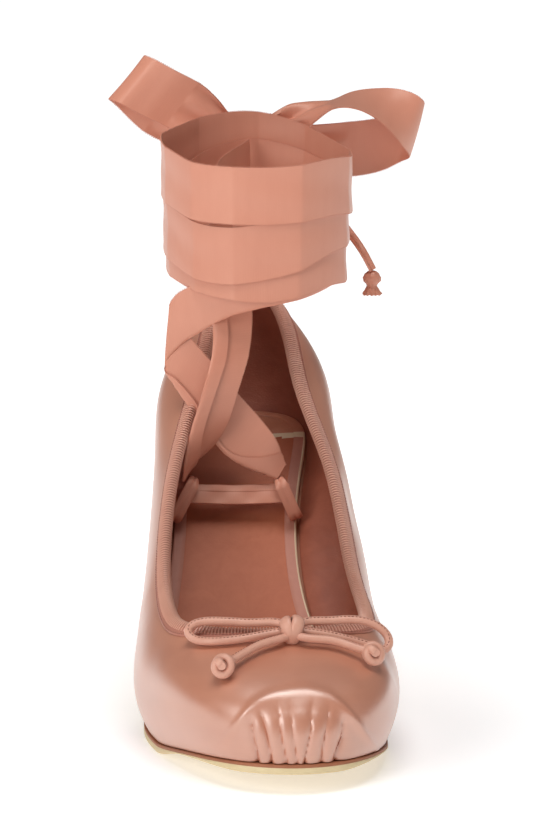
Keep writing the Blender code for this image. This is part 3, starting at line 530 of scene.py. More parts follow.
# A small shape repeated along a path, by Geometry Nodes
def buildRepeat():
    tree, taken, given = newGroup("repeatAlong", "GeometryNodeTree",
                                  [("Geometry", "NodeSocketGeometry"), ("Pitch", "NodeSocketFloat"), ("Size", "NodeSocketFloat"),
                                   ("Vary", "NodeSocketFloat"), ("Shape", "NodeSocketObject"), ("Finish", "NodeSocketMaterial")],
                                  [("Geometry", "NodeSocketGeometry")])
    path = put(tree, "GeometryNodeMeshToCurve", {"Mesh": taken.outputs["Geometry"]})
    even = put(tree, "GeometryNodeResampleCurve", {"Curve": path.outputs[0]}, mode="LENGTH")
    tree.links.new(taken.outputs["Pitch"], even.inputs["Length"])
    up = put(tree, "GeometryNodeInputNamedAttribute", {"Name": "up"}, data_type="FLOAT_VECTOR")
    tangent = tree.nodes.new("GeometryNodeInputTangent")
    ahead = put(tree, "FunctionNodeAlignRotationToVector", {"Vector": tangent.outputs[0]}, axis="X")
    raised = put(tree, "FunctionNodeAlignRotationToVector", {"Rotation": ahead.outputs[0], "Vector": up.outputs["Attribute"]}, axis="Z", pivot_axis="X")
    shape = put(tree, "GeometryNodeObjectInfo", {"Object": taken.outputs["Shape"]})
    least = put(tree, "ShaderNodeMath", {0: 1.0, 1: taken.outputs["Vary"]}, operation="SUBTRACT")
    most = put(tree, "ShaderNodeMath", {0: 1.0, 1: taken.outputs["Vary"]}, operation="ADD")
    chance = put(tree, "FunctionNodeRandomValue", {"Seed": 7}, data_type="FLOAT")
    tree.links.new(least.outputs[0], next(s for s in chance.inputs if s.name == "Min" and s.type == "VALUE"))
    tree.links.new(most.outputs[0], next(s for s in chance.inputs if s.name == "Max" and s.type == "VALUE"))
    size = put(tree, "ShaderNodeMath", {0: taken.outputs["Size"]}, operation="MULTIPLY")
    tree.links.new(next(s for s in chance.outputs if s.type == "VALUE"), size.inputs[1])
    copies = put(tree, "GeometryNodeInstanceOnPoints", {"Points": even.outputs[0], "Instance": shape.outputs["Geometry"]})
    tree.links.new(raised.outputs[0], copies.inputs["Rotation"])
    tree.links.new(size.outputs[0], copies.inputs["Scale"])
    real = put(tree, "GeometryNodeRealizeInstances", {"Geometry": copies.outputs[0]})
    painted = put(tree, "GeometryNodeSetMaterial", {"Geometry": real.outputs[0], "Material": taken.outputs["Finish"]})
    tree.links.new(painted.outputs[0], given.inputs["Geometry"])
    return tree


repeatTree = buildRepeat()


def repeatAlong(name, paths, shape, facts, finish):
    # paths is a list of (points, up directions, closed); gives one plain mesh object
    points, ups, edges = [], [], []
    for line, up, closed in paths:
        base, count = len(points), len(line)
        points += list(map(tuple, line))
        ups += list(map(tuple, up))
        edges += [(base + i, base + i + 1) for i in range(count - 1)]
        if closed:
            edges.append((base + count - 1, base))
    mesh = bpy.data.meshes.new(name + "Path")
    mesh.from_pydata([list(map(float, p)) for p in points], edges, [])
    attribute = mesh.attributes.new("up", "FLOAT_VECTOR", "POINT")
    attribute.data.foreach_set("vector", np.asarray(ups, float).ravel())
    carrier = bpy.data.objects.new(name + "Path", mesh)
    scene.collection.objects.link(carrier)
    modifier = carrier.modifiers.new("repeatAlong", "NODES")
    modifier.node_group = repeatTree
    names = {item.name: item.identifier for item in repeatTree.interface.items_tree if item.in_out == "INPUT"}
    for key, value in (("Pitch", facts["pitch"]), ("Size", 1.0), ("Vary", facts["vary"]), ("Shape", shape), ("Finish", finish)):
        modifier[names[key]] = value
    bpy.context.view_layer.update()
    seen = carrier.evaluated_get(bpy.context.evaluated_depsgraph_get())
    result = bpy.data.meshes.new_from_object(seen)
    result.name = name
    carrier.modifiers.clear()
    bpy.data.objects.remove(carrier, do_unlink=True)
    thing = bpy.data.objects.new(name, result)
    scene.collection.objects.link(thing)
    return thing


def sweep(line, sides, radii, ups=None, endCaps=True, squash=(1.0, 1.0)):
    # rings of a tube along a line of points; radii is one number for each point
    line = np.asarray(line, float)
    ahead = unit(np.gradient(line, axis=0))
    if ups is None:
        up = np.cross(ahead[0], (0.3, 0.9, 0.31))
        ups = [up / np.linalg.norm(up)]
        for i in range(1, len(line)):
            moved = ups[-1] - ahead[i] * np.dot(ups[-1], ahead[i])
            ups.append(moved / np.linalg.norm(moved))
    ups = unit(np.asarray(ups) - ahead * np.sum(np.asarray(ups) * ahead, 1, keepdims=True))
    across = np.cross(ahead, ups)
    turns = np.arange(sides) * 2 * math.pi / sides
    radii = np.broadcast_to(radii, len(line))
    grid = (line[:, None] + radii[:, None, None] * (np.cos(turns)[None, :, None] * ups[:, None] * squash[0]
                                                    + np.sin(turns)[None, :, None] * across[:, None] * squash[1]))
    if endCaps:
        grid = np.concatenate([np.repeat(line[:1, None], sides, 1) * 0.999 + grid[:1] * 0.001, grid,
                               np.repeat(line[-1:, None], sides, 1) * 0.999 + grid[-1:] * 0.001])
    return grid


def tubePiece(name, grid, materials):
    return gridPiece(name, grid, arcUv(grid, False, True), False, True, materials)


def shapeFrom(grid, name):
    # a template for repeatAlong, not linked to the scene
    piece = gridPiece(name, grid, arcUv(grid, False, True), False, True, [])
    scene.collection.objects.unlink(piece)
    return piece


def roundedEnds(radius, count):
    return radius * np.sin(np.linspace(0.12, math.pi - 0.12, count))**0.5


stitchShape = shapeFrom(sweep(np.stack([np.linspace(-0.00042, 0.00042, 5), np.zeros(5), np.array([0.0, 0.0001, 0.00013, 0.0001, 0.0])], 1), 5, roundedEnds(0.00015, 5)), "stitchShape")
arcTurns = np.linspace(0, math.pi, 6)
picotShape = shapeFrom(sweep(np.stack([0.00026 * np.cos(arcTurns), np.zeros(6), 0.00028 * np.sin(arcTurns)], 1), 3, 0.00011), "picotShape")

# Vamp bow: a stitched satin cord, tied on the throat, with a knot on each end
vampBow = {"cord": 0.003, "halfSpan": 0.036, "knot": 0.0038, "endKnot": 0.0041, "side": 0.0036, "beforeThroat": 0.0092}
outerLoopRoute = [(-0.020, 0.040, 0.030), (-0.110, 0.085, 0.060),(-0.350, 0.170, 0.036), (-0.628, 0.222, 0.047), (-0.864, 0.250, 0.036), (-0.983, 0.208, -0.019),
                  (-0.950, 0.194, -0.092), (-0.772, 0.058, -0.103), (-0.497, 0.003, -0.075), (-0.128, 0.011, -0.019), (-0.020, 0.020, -0.010)]
innerLoopRoute = [(0.020, 0.040, 0.030), (0.110, 0.085, 0.060),(0.344, 0.125, 0.053), (0.622, 0.139, 0.056), (0.831, 0.125, -0.011), (0.933, 0.083, -0.128),
                  (0.889, 0.000, -0.222), (0.733, 0.000, -0.164), (0.456, 0.014, -0.081), (0.128, 0.014, -0.019), (0.020, 0.020, -0.010)]
endsRoute = [(-0.640, -0.480, -0.180), (-0.489, -0.347, -0.131), (-0.322, -0.219, -0.078), (-0.083, -0.092, -0.047), (0.000, -0.040, -0.030),
             (0.083, -0.092, -0.047), (0.372, -0.117, -0.075), (0.631, -0.214, -0.144), (0.700, -0.240, -0.160)]
outerEndKnot, innerEndKnot = (-0.681, -0.528, -0.194), (0.744, -0.253, -0.172)
throatY = section[0, 3] * shoe["length"] - shoe["ballFromToe"]
bowMiddle = np.array([vampBow["side"], throatY - vampBow["beforeThroat"], shoe["throatHeight"] + 0.0023])


def bowLine(route, count):
    line = openCurve(np.array(route) * vampBow["halfSpan"] + bowMiddle, count)
    for _ in range(8):  # a cord eases its own bends
        line[1:-1] = 0.25 * line[:-2] + 0.5 * line[1:-1] + 0.25 * line[2:]
    return line


def cordPiece(name, line, replaced, seamUp):
    # a folded satin cord: flatter than round, with a seam of small stitches along one side
    ups = np.broadcast_to(seamUp, line.shape)
    grid = sweep(line, 16, vampBow["cord"] / 2, ups, squash=(0.92, 1.0))
    piece = tubePiece(name, grid, [cordSatin])
    ahead = unit(np.gradient(line, axis=0))
    up = unit(ups - ahead * np.sum(ups * ahead, 1, keepdims=True))
    # the stitches take the darker thread, painted shade in their pits
    seam = repeatAlong(name + "Seam", [(line + up * vampBow["cord"] * 0.44, up, False)], stitchShape, {"pitch": 0.0013, "vary": 0.15}, stitchShadeThread)
    for thing in (piece, seam):
        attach(thing, "root")
    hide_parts(*replaced)
    return piece


def endKnot(name, middle, facing, replaced):
    # an overhand knot: a turn and a half of cord with its cut end standing out of the middle
    facing = unit(np.array(facing, float))
    side = unit(np.cross(facing, (0, 0, 1)))
    up = np.cross(side, facing)
    turns = np.linspace(-0.4, 2 * math.pi * 1.12, 40)
    radius = 0.0027 + 0.0003 * np.sin(turns * 1.5)
    deep = np.interp(turns, [turns[0], turns[-1]], [-0.0012, 0.0009])
    coil = middle + radius[:, None] * (np.cos(turns)[:, None] * side + np.sin(turns)[:, None] * up) + deep[:, None] * facing
    inward = np.linspace(0.15, 1, 8)[:, None]
    target = middle + facing * 0.0016 + side * 0.0002
    tuck = coil[-1] * (1 - inward) + target * inward + facing * 0.0008 * np.sin(inward * math.pi)
    stub = target + facing * np.linspace(0.0003, 0.0012, 3)[:, None] - up * np.linspace(0, 0.0004, 3)[:, None]
    line = openCurve(np.concatenate([coil[::2], tuck[::2], stub]), 70)
    ring = tubePiece(name, sweep(line, 12, 0.00145), [cordSatin])
    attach(ring, "root")
    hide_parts(replaced)
    return ring


def centreKnot():
    # one wide turn over the middle, with a narrower one crossing behind it
    turns = np.linspace(0, 2 * math.pi, 41)[:-1]
    pieces = []
    for name, width, tall, deep, lean, shift in (("bowKnotFront", 0.0023, 0.0052, 0.0042, 0.22, 0.0010),
                                                  ("bowKnotBack", 0.0022, 0.0047, 0.0040, -0.16, -0.0017)):
        line = np.stack([shift + lean * tall * np.sin(turns), deep * 0.72 * np.cos(turns), tall * 0.72 * np.sin(turns)], 1) + bowMiddle
        ahead = unit(np.roll(line, -1, 0) - np.roll(line, 1, 0))
        out = unit(line - bowMiddle + (1e-9, 0, 0))
        out = unit(out - ahead * np.sum(out * ahead, 1, keepdims=True))
        across = np.cross(ahead, out)
        ring = np.arange(16) * math.pi / 8
        grid = line[:, None] + out[:, None] * 0.0012 * np.sin(ring)[None, :, None] + across[:, None] * width * np.cos(ring)[None, :, None]
        piece = gridPiece(name, grid, arcUv(grid, True, True), True, True, [cordSatin], flip=True)
        pieces.append(piece)
    for piece in pieces:
        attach(piece, "root")
    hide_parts("bow_knot")
    return pieces


knotPieces = centreKnot()
outerKnot = endKnot("bowEndOuterKnot", bowMiddle + np.array(outerEndKnot) * vampBow["halfSpan"], (-0.25, -0.9, 0.35), "bow_end_outer_knot")
innerKnot = endKnot("bowEndInnerKnot", bowMiddle + np.array(innerEndKnot) * vampBow["halfSpan"], (0.15, -0.9, 0.4), "bow_end_inner_knot")
cordPiece("bowLoopOuter", bowLine(outerLoopRoute, 60), ["bow_loop_outer"], (0.0, -0.5, 0.86))
cordPiece("bowLoopInner", bowLine(innerLoopRoute, 60), ["bow_loop_inner"], (0.0, -0.5, 0.86))
cordPiece("bowEnds", bowLine(endsRoute, 60), ["bow_end_outer", "bow_end_inner"], (0.0, 0.6, 0.8))
print("vamp bow tied")

# Upper: satin outside, leather lining inside, toe gathers and soft creases from listed tables
upperFacts = {
    "rows": 76, "liningRows": 26, "toeColumns": 96, "sideColumns": 300, "toeReach": 0.024,
    "belowRidge": 0.0025, "gatherFoot": 0.0115, "gatherDepth": 0.0018, "ridgeLift": 0.0008, "setBack": 0.0006,
}
# the toe's ridge: how high it stands at each place across
ridgeTable = np.array([(-0.0300, 0.0050), (-0.0252, 0.0124), (-0.0169, 0.0243), (-0.0122, 0.0293), (-0.0037, 0.0327), (0.0043, 0.0335),
                       (0.0122, 0.0320), (0.0186, 0.0273), (0.0280, 0.0141), (0.0330, 0.0050)])
# the toe's gathers: places across at their foot, middle and top, and how deep each one is
gatherLines = [
    (-0.0109, -0.0127, -0.0130, 0.9), (-0.0066, -0.0084, -0.0101, 1.0), (-0.0016, -0.0036, -0.0040, 0.8), (0.0020, 0.0006, -0.0002, 0.7),
    (0.0046, 0.0068, 0.0075, 0.9), (0.0105, 0.0120, 0.0133, 0.9), (0.0150, 0.0178, 0.0180, 1.0),
]
# soft troughs and ridges: two ends, how wide, and how far out (+) or in (-), in millimetres
creaseTable = [
    ((-24, -52, 26), (-37, -20, 20), 7.0, 0.35), ((24, -54, 22), (34, -30, 14), 6.0, 0.35),
    ((-12, -44, 38), (-34, -34, 22), 5.0, -0.30), ((16, -44, 38), (33, -34, 24), 5.0, -0.30),
    ((-36, 0, 42), (-42, 10, 20), 6.0, -0.35), ((-37, 22, 50), (-43, 30, 34), 6.0, 0.30),
    ((30, 20, 44), (37, 30, 22), 6.0, -0.35),
]
# where the whole wall, lining too, lies a little further in
wallTable = [((33, 46, 80), (31, 62, 60), 14.0, -1.5), ((38, -16, 38), (38, -34, 27), 9.0, -1.3)]


def ringWhere(facts):
    # columns are close together where the toe is gathered
    near, far = facts["toeReach"], ringLength - facts["toeReach"]
    toe = np.linspace(-near, near, facts["toeColumns"] + 1)[:-1]
    side = np.linspace(near, far, facts["sideColumns"] + 1)[:-1]
    return np.concatenate([toe[facts["toeColumns"] // 2:], side, toe[:facts["toeColumns"] // 2]])


def gatherOffset(grid, normals, facts):
    x, y, z = (grid[..., i] for i in range(3))
    ridge = softCurve(x, ridgeTable[:, 0], ridgeTable[:, 1])
    top = ridge - facts["belowRidge"]
    high = np.clip((z - facts["gatherFoot"]) / (top - facts["gatherFoot"]), 0, 1.3)
    lines = np.array([np.interp(high, [0, 0.5, 1.0], row[:3]) for row in gatherLines])
    front = smoothStep(-normals[..., 1], 0.10, 0.38) * smoothStep(top + 0.0015 - z, 0.0, 0.004)
    depth = facts["gatherDepth"] * (0.45 + 0.55 * smoothStep(1 - high, 0.0, 0.8)) * front
    toe = smoothStep(-y, 0.036, 0.048) * smoothStep(x, -0.026, -0.010) * smoothStep(-x, -0.036, -0.024)
    offset = toe * (facts["ridgeLift"] * bell(z, ridge, 0.0016) - facts["setBack"] * smoothStep(ridge - z, 0.001, 0.005) * smoothStep(z, 0.010, 0.018))
    pleats = np.zeros_like(x)
    for i in range(len(lines) - 1):
        t = (x - lines[i]) / (lines[i + 1] - lines[i])
        inside = (t >= 0) & (t <= 1)
        share = gatherLines[i][3] * (1 - t) + gatherLines[i + 1][3] * t
        rise = np.abs(np.sin(math.pi * np.clip(t, 0, 1)**0.8))**0.42
        pleats = np.where(inside, -depth * share * (1 - rise), pleats)
    for line, side, share in ((lines[0], -1, gatherLines[0][3]), (lines[-1], 1, gatherLines[-1][3])):
        away = side * (x - line)
        pleats = np.where(away > 0, -depth * share * np.exp(-away / 0.0012), pleats)
    return offset + pleats


def creaseOffset(grid, table):
    offset = np.zeros(grid.shape[:2])
    for start, end, width, depth in table:
        a, b = np.array(start) / 1000, np.array(end) / 1000
        t = np.clip(np.sum((grid - a) * (b - a), -1) / np.sum((b - a)**2), 0, 1)
        away = np.linalg.norm(grid - a - t[..., None] * (b - a), axis=-1)
        offset += depth / 1000 * bell(away, 0, width / 1000) * (0.35 + 0.65 * np.sin(math.pi * t))
    return offset


def upperGrids(facts):
    where = ringWhere(facts)
    rise = np.linspace(0, 1, facts["rows"])
    fade = smoothStep(1 - rise, 0.04, 0.25)[:, None]
    outside = wallGrid(where, rise)
    normals = gridNormals(outside)
    outside = outside + normals * (creaseOffset(outside, wallTable) * fade)[..., None]
    normals = gridNormals(outside)
    shaped = outside + normals * (gatherOffset(outside, normals, facts) + creaseOffset(outside, creaseTable))[..., None]
    inRise = np.linspace(0, 1, facts["liningRows"])
    base = wallGrid(where, inRise)
    base = base + gridNormals(base) * (creaseOffset(base, wallTable) * smoothStep(1 - inRise, 0.04, 0.25)[:, None])[..., None]
    inNormals = gridNormals(base)
    depth = shoe["wall"] * np.ones(inRise.shape)[:, None, None]
    inside = base - inNormals * depth
    inside[0] = base[0] - unit(inNormals[0] * (1, 1, 0)) * shoe["wall"]
    inside[0, :, 2] = levelZ(inside[0, :, 1], shoe["sole"] + shoe["clear"])
    return where, outside, normals, shaped, inside, inNormals


ringPlaces, plainWall, wallNormals, satinWall, liningWall, liningNormals = upperGrids(upperFacts)


def makeUpper():
    liningShaped = liningWall.copy()
    x, y, z = (liningWall[..., i] for i in range(3))
    inner = (x > 0) & (y > -0.01) & (y < 0.10)
    ripple = 0.00022 * np.sin(900 * (z + 0.35 * y)) * np.sin(260 * (y - 0.4 * z)) + 0.00018 * np.sin(1500 * (z + 0.5 * y) + 5)
    fade = np.sin(np.linspace(0, math.pi, len(liningWall)))[:, None]
    liningShaped -= liningNormals * (np.where(inner, ripple, ripple * 0.3) * fade)[..., None]
    loop = np.concatenate([satinWall, liningShaped[::-1]])
    rows = len(satinWall)
    slots = [0] * (rows - 1) + [1] * (len(loop) - rows + 1)
    uv = arcUv(loop, True, True)
    return gridPiece("upperShell", loop, uv, True, True, [satin, liningLeather], slots, flip=True)


upperShell = makeUpper()
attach(upperShell, "root")
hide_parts("upper")
print("upper made")

# Binding: grosgrain folded over the top edge, with ribs across it and a stitch line
bindingFacts = {"outer": 0.0045, "inner": 0.0030, "thick": 0.00055, "gap": 0.00012, "ribPitch": 0.00105, "stitchPitch": 0.0012, "stitchUp": 0.0006}


def bindingGrid(outside, normals, inside, inNormals, facts):
    rows = []
    topOut, topIn = outside[-1], inside[-1]
    middle, across = (topOut + topIn) / 2, unit(topOut - topIn)
    half = np.linalg.norm(topOut - topIn, axis=1, keepdims=True) / 2
    climb = unit(outside[-1] - outside[-3])
    climb = unit(climb - across * np.sum(climb * across, 1, keepdims=True))
    levels = [(facts["outer"], 0.0), (facts["outer"], 0.7), (facts["outer"] * 0.96, 1.0), (facts["outer"] * 0.7, 1.0), (facts["outer"] * 0.4, 1.0), (facts["outer"] * 0.15, 1.0)]

    def beside(grid, normal, down, high, sign):
        foot = belowEdge(grid, grid, down)
        out = unit(belowEdge(grid, normal, down))
        return foot + sign * out * (facts["gap"] + facts["thick"] * high)

    def over(turn, high):
        reach = facts["gap"] + facts["thick"] * high
        return middle + across * (half + reach) * math.cos(turn) + climb * (half * 0.75 + reach) * math.sin(turn)

    for down, high in levels:
        rows.append(beside(outside, normals, down, high, 1))
    rows += [over(turn, 1.0) for turn in np.linspace(0.15, math.pi - 0.15, 9)]
    rows += [beside(inside, inNormals, down * facts["inner"] / facts["outer"], high, -1) for down, high in levels[::-1]]
    rows += [beside(inside, inNormals, facts["inner"] * 0.4, 0.0, -1)]
    rows += [over(turn, 0.0) for turn in (math.pi - 0.3, math.pi / 2, 0.3)]
    rows += [beside(outside, normals, facts["outer"] * 0.4, 0.0, 1)]
    return np.array(rows), climb, across


bindGrid, bindClimb, bindAcross = bindingGrid(plainWall, wallNormals, liningWall, liningNormals, bindingFacts)
binding = gridPiece("toplineBinding", bindGrid, arcUv(bindGrid, True, True), True, True, [grosgrain], flip=True)
ribProfile = np.array([(0, -0.00165, -0.0026), (0, -0.00178, -0.0012), (0, -0.00175, 0.0), (0, -0.00145, 0.0009), (0, -0.0006, 0.00148), (0, 0.0006, 0.00148),
                       (0, 0.00145, 0.0009), (0, 0.00175, 0.0), (0, 0.00178, -0.0012), (0, 0.00165, -0.0026)])
ribShape = shapeFrom(sweep(openCurve(ribProfile, 20), 5, 0.00029, ups=np.broadcast_to((1.0, 0, 0), (20, 3))), "ribShape")
edgeMiddle = (plainWall[-1] + liningWall[-1]) / 2
ribs = repeatAlong("bindingRibs", [(edgeMiddle, bindClimb, True)], ribShape, {"pitch": bindingFacts["ribPitch"], "vary": 0.015}, ribThread)
stitchFoot = belowEdge(plainWall, plainWall, bindingFacts["outer"] - bindingFacts["stitchUp"])
stitchOut = unit(belowEdge(plainWall, wallNormals, bindingFacts["outer"] - bindingFacts["stitchUp"]))
# these stitches also take the darker thread, painted shade in their pits
bindStitches = repeatAlong("bindingStitches", [(stitchFoot + stitchOut * (bindingFacts["gap"] + bindingFacts["thick"]), stitchOut, True)],
                           stitchShape, {"pitch": bindingFacts["stitchPitch"], "vary": 0.12}, stitchShadeThread)
for piece in (binding, ribs, bindStitches):
    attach(piece, "root")
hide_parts("topline_binding")
print("binding sewn on")

# Sole, sock, heel and top lift
soleFacts = {"columns": 260, "across": 18, "beige": 0.0023}
sockFacts = {"inset": 0.0021, "strip": 0.0040, "pale": 0.0007, "padSeam": 0.865, "padGroove": 0.0004}


def outlineAt(columns, inset):
    where = np.arange(columns) * ringLength / columns
    x, y = featherPlan(where)
    nx, ny = planNormals(x, y)
    return x - nx * inset, y - ny * inset


def sideLift(x, y):
    # how far the sole's lower edge is rounded up beside the ball
    return 0.85 * smoothStep(np.abs(x), 0.016, 0.036) * smoothStep(-y, 0.012, 0.036)


def slabPiece(name, columns, edgeRows, bottomMaterials, slotOfRow, across, topShape=None):
    # edgeRows are (inset, level) from the bottom's rim up to the top's rim; both are filled across
    rings = []
    for inset, level in edgeRows:
        x, y = outlineAt(columns, inset)
        lift = sideLift(x, y) * max(soleFacts["beige"] - level, 0) if topShape is None else 0
        rings.append(np.stack([x, y, levelZ(y, level) + lift], 1))
    grid = np.array(rings)
    rows = len(grid)
    faces, places = gridFaces(rows, columns, False, True, True)
    uv = arcUv(grid, False, True)
    points, faceList = [tuple(p) for p in grid.reshape(-1, 3)], faces.tolist()
    uvs = [tuple(uv[a, b]) for place in places for a, b in place]
    slots = [slotOfRow[place[:, 0].min()] for place in places]
    half = columns // 2
    for r, level, up in ((0, edgeRows[0][1], False), (rows - 1, edgeRows[-1][1], True)):
        base = r * columns
        lines = []
        for i in range(half + 1):
            first, last = base + i, base + (columns - i) % columns
            if first == last:
                lines.append([first])
                continue
            a, b = np.array(points[first]), np.array(points[last])
            line = [first]
            for k in range(1, across):
                t = k / across
                p = a * (1 - t) + b * t
                p[2] = levelZ(p[1], level)
                if not up and topShape is None:
                    p[2] += sideLift(p[0], p[1]) * (soleFacts["beige"] - level)
                if up and topShape is not None:
                    p = topShape(p, t, a, b)
                points.append(tuple(p))
                line.append(len(points) - 1)
            lines.append(line + [last])
        for one, two in zip(lines[:-1], lines[1:]):
            if len(one) == 1 or len(two) == 1:
                tip, line = (one[0], two) if len(one) == 1 else (two[0], one)
                new = [(tip, line[k], line[k + 1]) for k in range(len(line) - 1)]
                new = [f[::-1] for f in new] if len(two) == 1 else new
            else:
                new = [(one[k], two[k], two[k + 1], one[k + 1]) for k in range(across)]
            for face in new:
                faceList.append(face if up else face[::-1])
                uvs += [(points[c][0], points[c][1]) for c in faceList[-1]]
                slots.append(slotOfRow[-1] if up else slotOfRow[0])
    return makePiece(name, points, faceList, uvs, bottomMaterials, slots)


def makeSole():
    out, thick, beige = -shoe["margin"], shoe["sole"], soleFacts["beige"]
    rows = [(0.0026, 0.0001), (0.0022, 0.00004), (0.0018, 0.0001),(out + 0.0008, 0.0), (out + 0.00025, 0.00012), (out + 0.00004, 0.0004), (out - 0.00004, 0.0012), (out, beige - 0.0002),
            (out + 0.0001, beige), (out + 0.0001, beige + 0.00005), (out + 0.00004, beige + 0.0004), (out + 0.00012, thick - 0.0002), (out + 0.0005, thick), (0.0010, thick)]
    slots = [0] * 9 + [1] * 6
    return slabPiece("outsoleLeather", soleFacts["columns"], rows, [soleLeather, soleStain], slots, soleFacts["across"])


def sockTop(p, t, a, b):
    along = (p[1] + shoe["ballFromToe"]) / shoe["length"]
    width = np.linalg.norm(b - a)
    edge = min(t, 1 - t) * width
    groove = sockFacts["padGroove"] * math.exp(-((along - sockFacts["padSeam"] + 0.004) / 0.0035)**2) * (1 + 0.6 * math.sin(900 * p[0]))
    pad = 0.0006 * float(smoothStep(along, sockFacts["padSeam"], sockFacts["padSeam"] + 0.012)) * float(smoothStep(edge, 0.001, 0.004))
    rim = 0.0002 * float(smoothStep(edge, sockFacts["strip"] * 0.9, sockFacts["strip"] * 1.1))
    p = p.copy()
    p[2] += pad - groove - rim
    return p


def makeSock():
    low, high, inset = shoe["sole"] + shoe["clear"], shoe["sole"] + shoe["clear"] + shoe["sock"], sockFacts["inset"]
    rows = [(inset + 0.0008, low), (inset + 0.0001, low), (inset, low + 0.0004), (inset, high - 0.0004), (inset + 0.0002, high - 0.0001), (inset + sockFacts["pale"], high),
            (inset + sockFacts["pale"] + 0.0001, high), (inset + sockFacts["strip"] * 0.5, high), (inset + sockFacts["strip"], high), (inset + sockFacts["strip"] + 0.0002, high - 0.00025)]
    slots = [0, 2, 2, 2, 2, 1, 1, 1, 1, 0, 0]
    sock = slabPiece("sockLining", soleFacts["columns"], rows, [sockLeather, sockEdge, paleEdge, padLeatherPaintedLight], slots, soleFacts["across"], sockTop)
    seam = sockFacts["padSeam"] * shoe["length"] - shoe["ballFromToe"]
    for face in sock.data.polygons:  # the heel pad lies over the edge strip; its lighter leather is partly its own paler tone, partly painted light where the heel seat catches light
        if face.center.y > seam - 0.0014:
            face.material_index = 3 if face.center.y > seam + 0.0008 else 2
        elif face.material_index == 2 and face.center.x < 0:
            face.material_index = 1
    return sock


heelTable = np.array([(0.00, 0.974, 1.00, 1.00), (0.13, 0.974, 0.68, 0.80), (0.30, 0.962, 0.36, 0.48), (0.52, 0.948, 0.14, 0.17), (0.78, 0.943, 0.02, 0.02), (1.00, 0.943, 0.00, 0.00)])
heelFacts = {"seatLength": 0.0425, "seatWidth": 0.050, "centre": -0.0013, "gap": 0.0007, "lift": 0.0042, "liftLength": 0.0125, "liftWidth": 0.0145, "rings": 48, "turns": 72}


def heelRing(drop, back, long, wide, grow=0.0, flat=None):
    turns = np.arange(heelFacts["turns"]) * 2 * math.pi / heelFacts["turns"]
    length = heelFacts["liftLength"] + (heelFacts["seatLength"] - heelFacts["liftLength"]) * long
    half = (heelFacts["liftWidth"] + (heelFacts["seatWidth"] - heelFacts["liftWidth"]) * wide) / 2 + grow
    y = back * shoe["length"] - shoe["ballFromToe"] - length / 2 + (length / 2 + grow) * np.cos(turns)
    x = heelFacts["centre"] + half * np.sign(np.sin(turns)) * np.abs(np.sin(turns))**0.85
    if flat is not None:
        return np.stack([x, y, np.full_like(x, flat)], 1)
    seat, floor = levelZ(y, -heelFacts["gap"]), heelFacts["lift"] + shoe["clear"]
    return np.stack([x, y, seat + (floor - seat) * drop], 1)


def shrink(ring, share, down=0.0):
    middle = ring.mean(0)
    moved = middle + (ring - middle) * share
    return moved + (0, 0, down)


def makeHeel():
    drops = np.linspace(0, 1, heelFacts["rings"])
    rings = [heelRing(d, *(float(softCurve(d, heelTable[:, 0], heelTable[:, k])) for k in (1, 2, 3))) for d in drops]
    seam = bell(np.arange(heelFacts["turns"]) * 2 * math.pi / heelFacts["turns"] % (2 * math.pi), 0, 0.05)
    rings = [ring + (0, 0, 0) * seam[:, None] for ring in rings]
    tips = [shrink(rings[0], s) for s in (0.02, 0.5, 0.9)]
    for tip, s in zip(tips, (0.02, 0.5, 0.9)):
        tip[:, 2] = levelZ(tip[:, 1], -heelFacts["gap"])
    foot = [shrink(rings[-1], s) for s in (0.95, 0.5, 0.02)]
    grid = np.array(tips + rings + foot)
    return tubePieceFlip("coveredHeel", grid, [satin])


def tubePieceFlip(name, grid, materials):
    return gridPiece(name, grid, arcUv(grid, False, True), False, True, materials, flip=True)


def makeLift():
    base = heelRing(1.0, 0.943, 0.0, 0.0, 0.0, 0.0)
    rows = [(0.02, 0.0042), (0.9, 0.0042), (0.985, 0.0042), (1.0, 0.0039), (1.0, 0.0022), (0.992, 0.0020), (1.0, 0.0018), (1.0, 0.0004), (0.97, 0.0), (0.5, 0.0), (0.02, 0.0)]
    grid = np.array([shrink(base, share) * (1, 1, 0) + (0, 0, high) for share, high in rows])
    return tubePieceFlip("topLift", grid, [liftRubber])


for maker, node, slotName in ((makeSole, "outsole", "sole_leather"), (makeSock, "insole", "sock_leather"), (makeHeel, "heel", "satin"), (makeLift, "top_lift", "lift_rubber")):
    piece = maker()
    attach(piece, "root")
    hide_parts(node)
print("sole, sock, heel and lift made")

# Ankle ribbon
ribbon = {"width": 0.020, "thick": 0.00045, "picotPitch": 0.0008, "wrapWidth": 0.0684, "wrapDepth": 0.078, "wrapCentre": 0.003, "wrapBehindBall": 0.098,
          "cornerShare": 0.5, "cornerOut": 0.0006, "pitch": 0.0009, "stations": 150, "across": 17, "turnStations": 288}
wrapTable = np.array([(0.000, 0.515, 0.92, 1.90), (0.062, 0.59, 1.07, 1.93), (0.125, 0.69, 1.27, 1.96), (0.200, 0.66, 1.33, 1.88),
                      (0.250, 0.64, 1.37, 1.83), (0.375, 0.75, 1.60, 2.05), (0.500, 0.94, 1.84, 2.34), (0.625, 0.95, 1.50, 2.22),
                      (0.750, 0.82, 1.13, 2.11), (0.800, 0.76, 1.06, 2.07), (0.875, 0.63, 0.87, 1.93), (0.940, 0.56, 0.84, 1.91)])
wrapCorners = [0.060, 0.180, 0.285, 0.400, 0.482, 0.590, 0.700, 0.790, 0.870, 0.945]  # where the wrap turns its soft corners
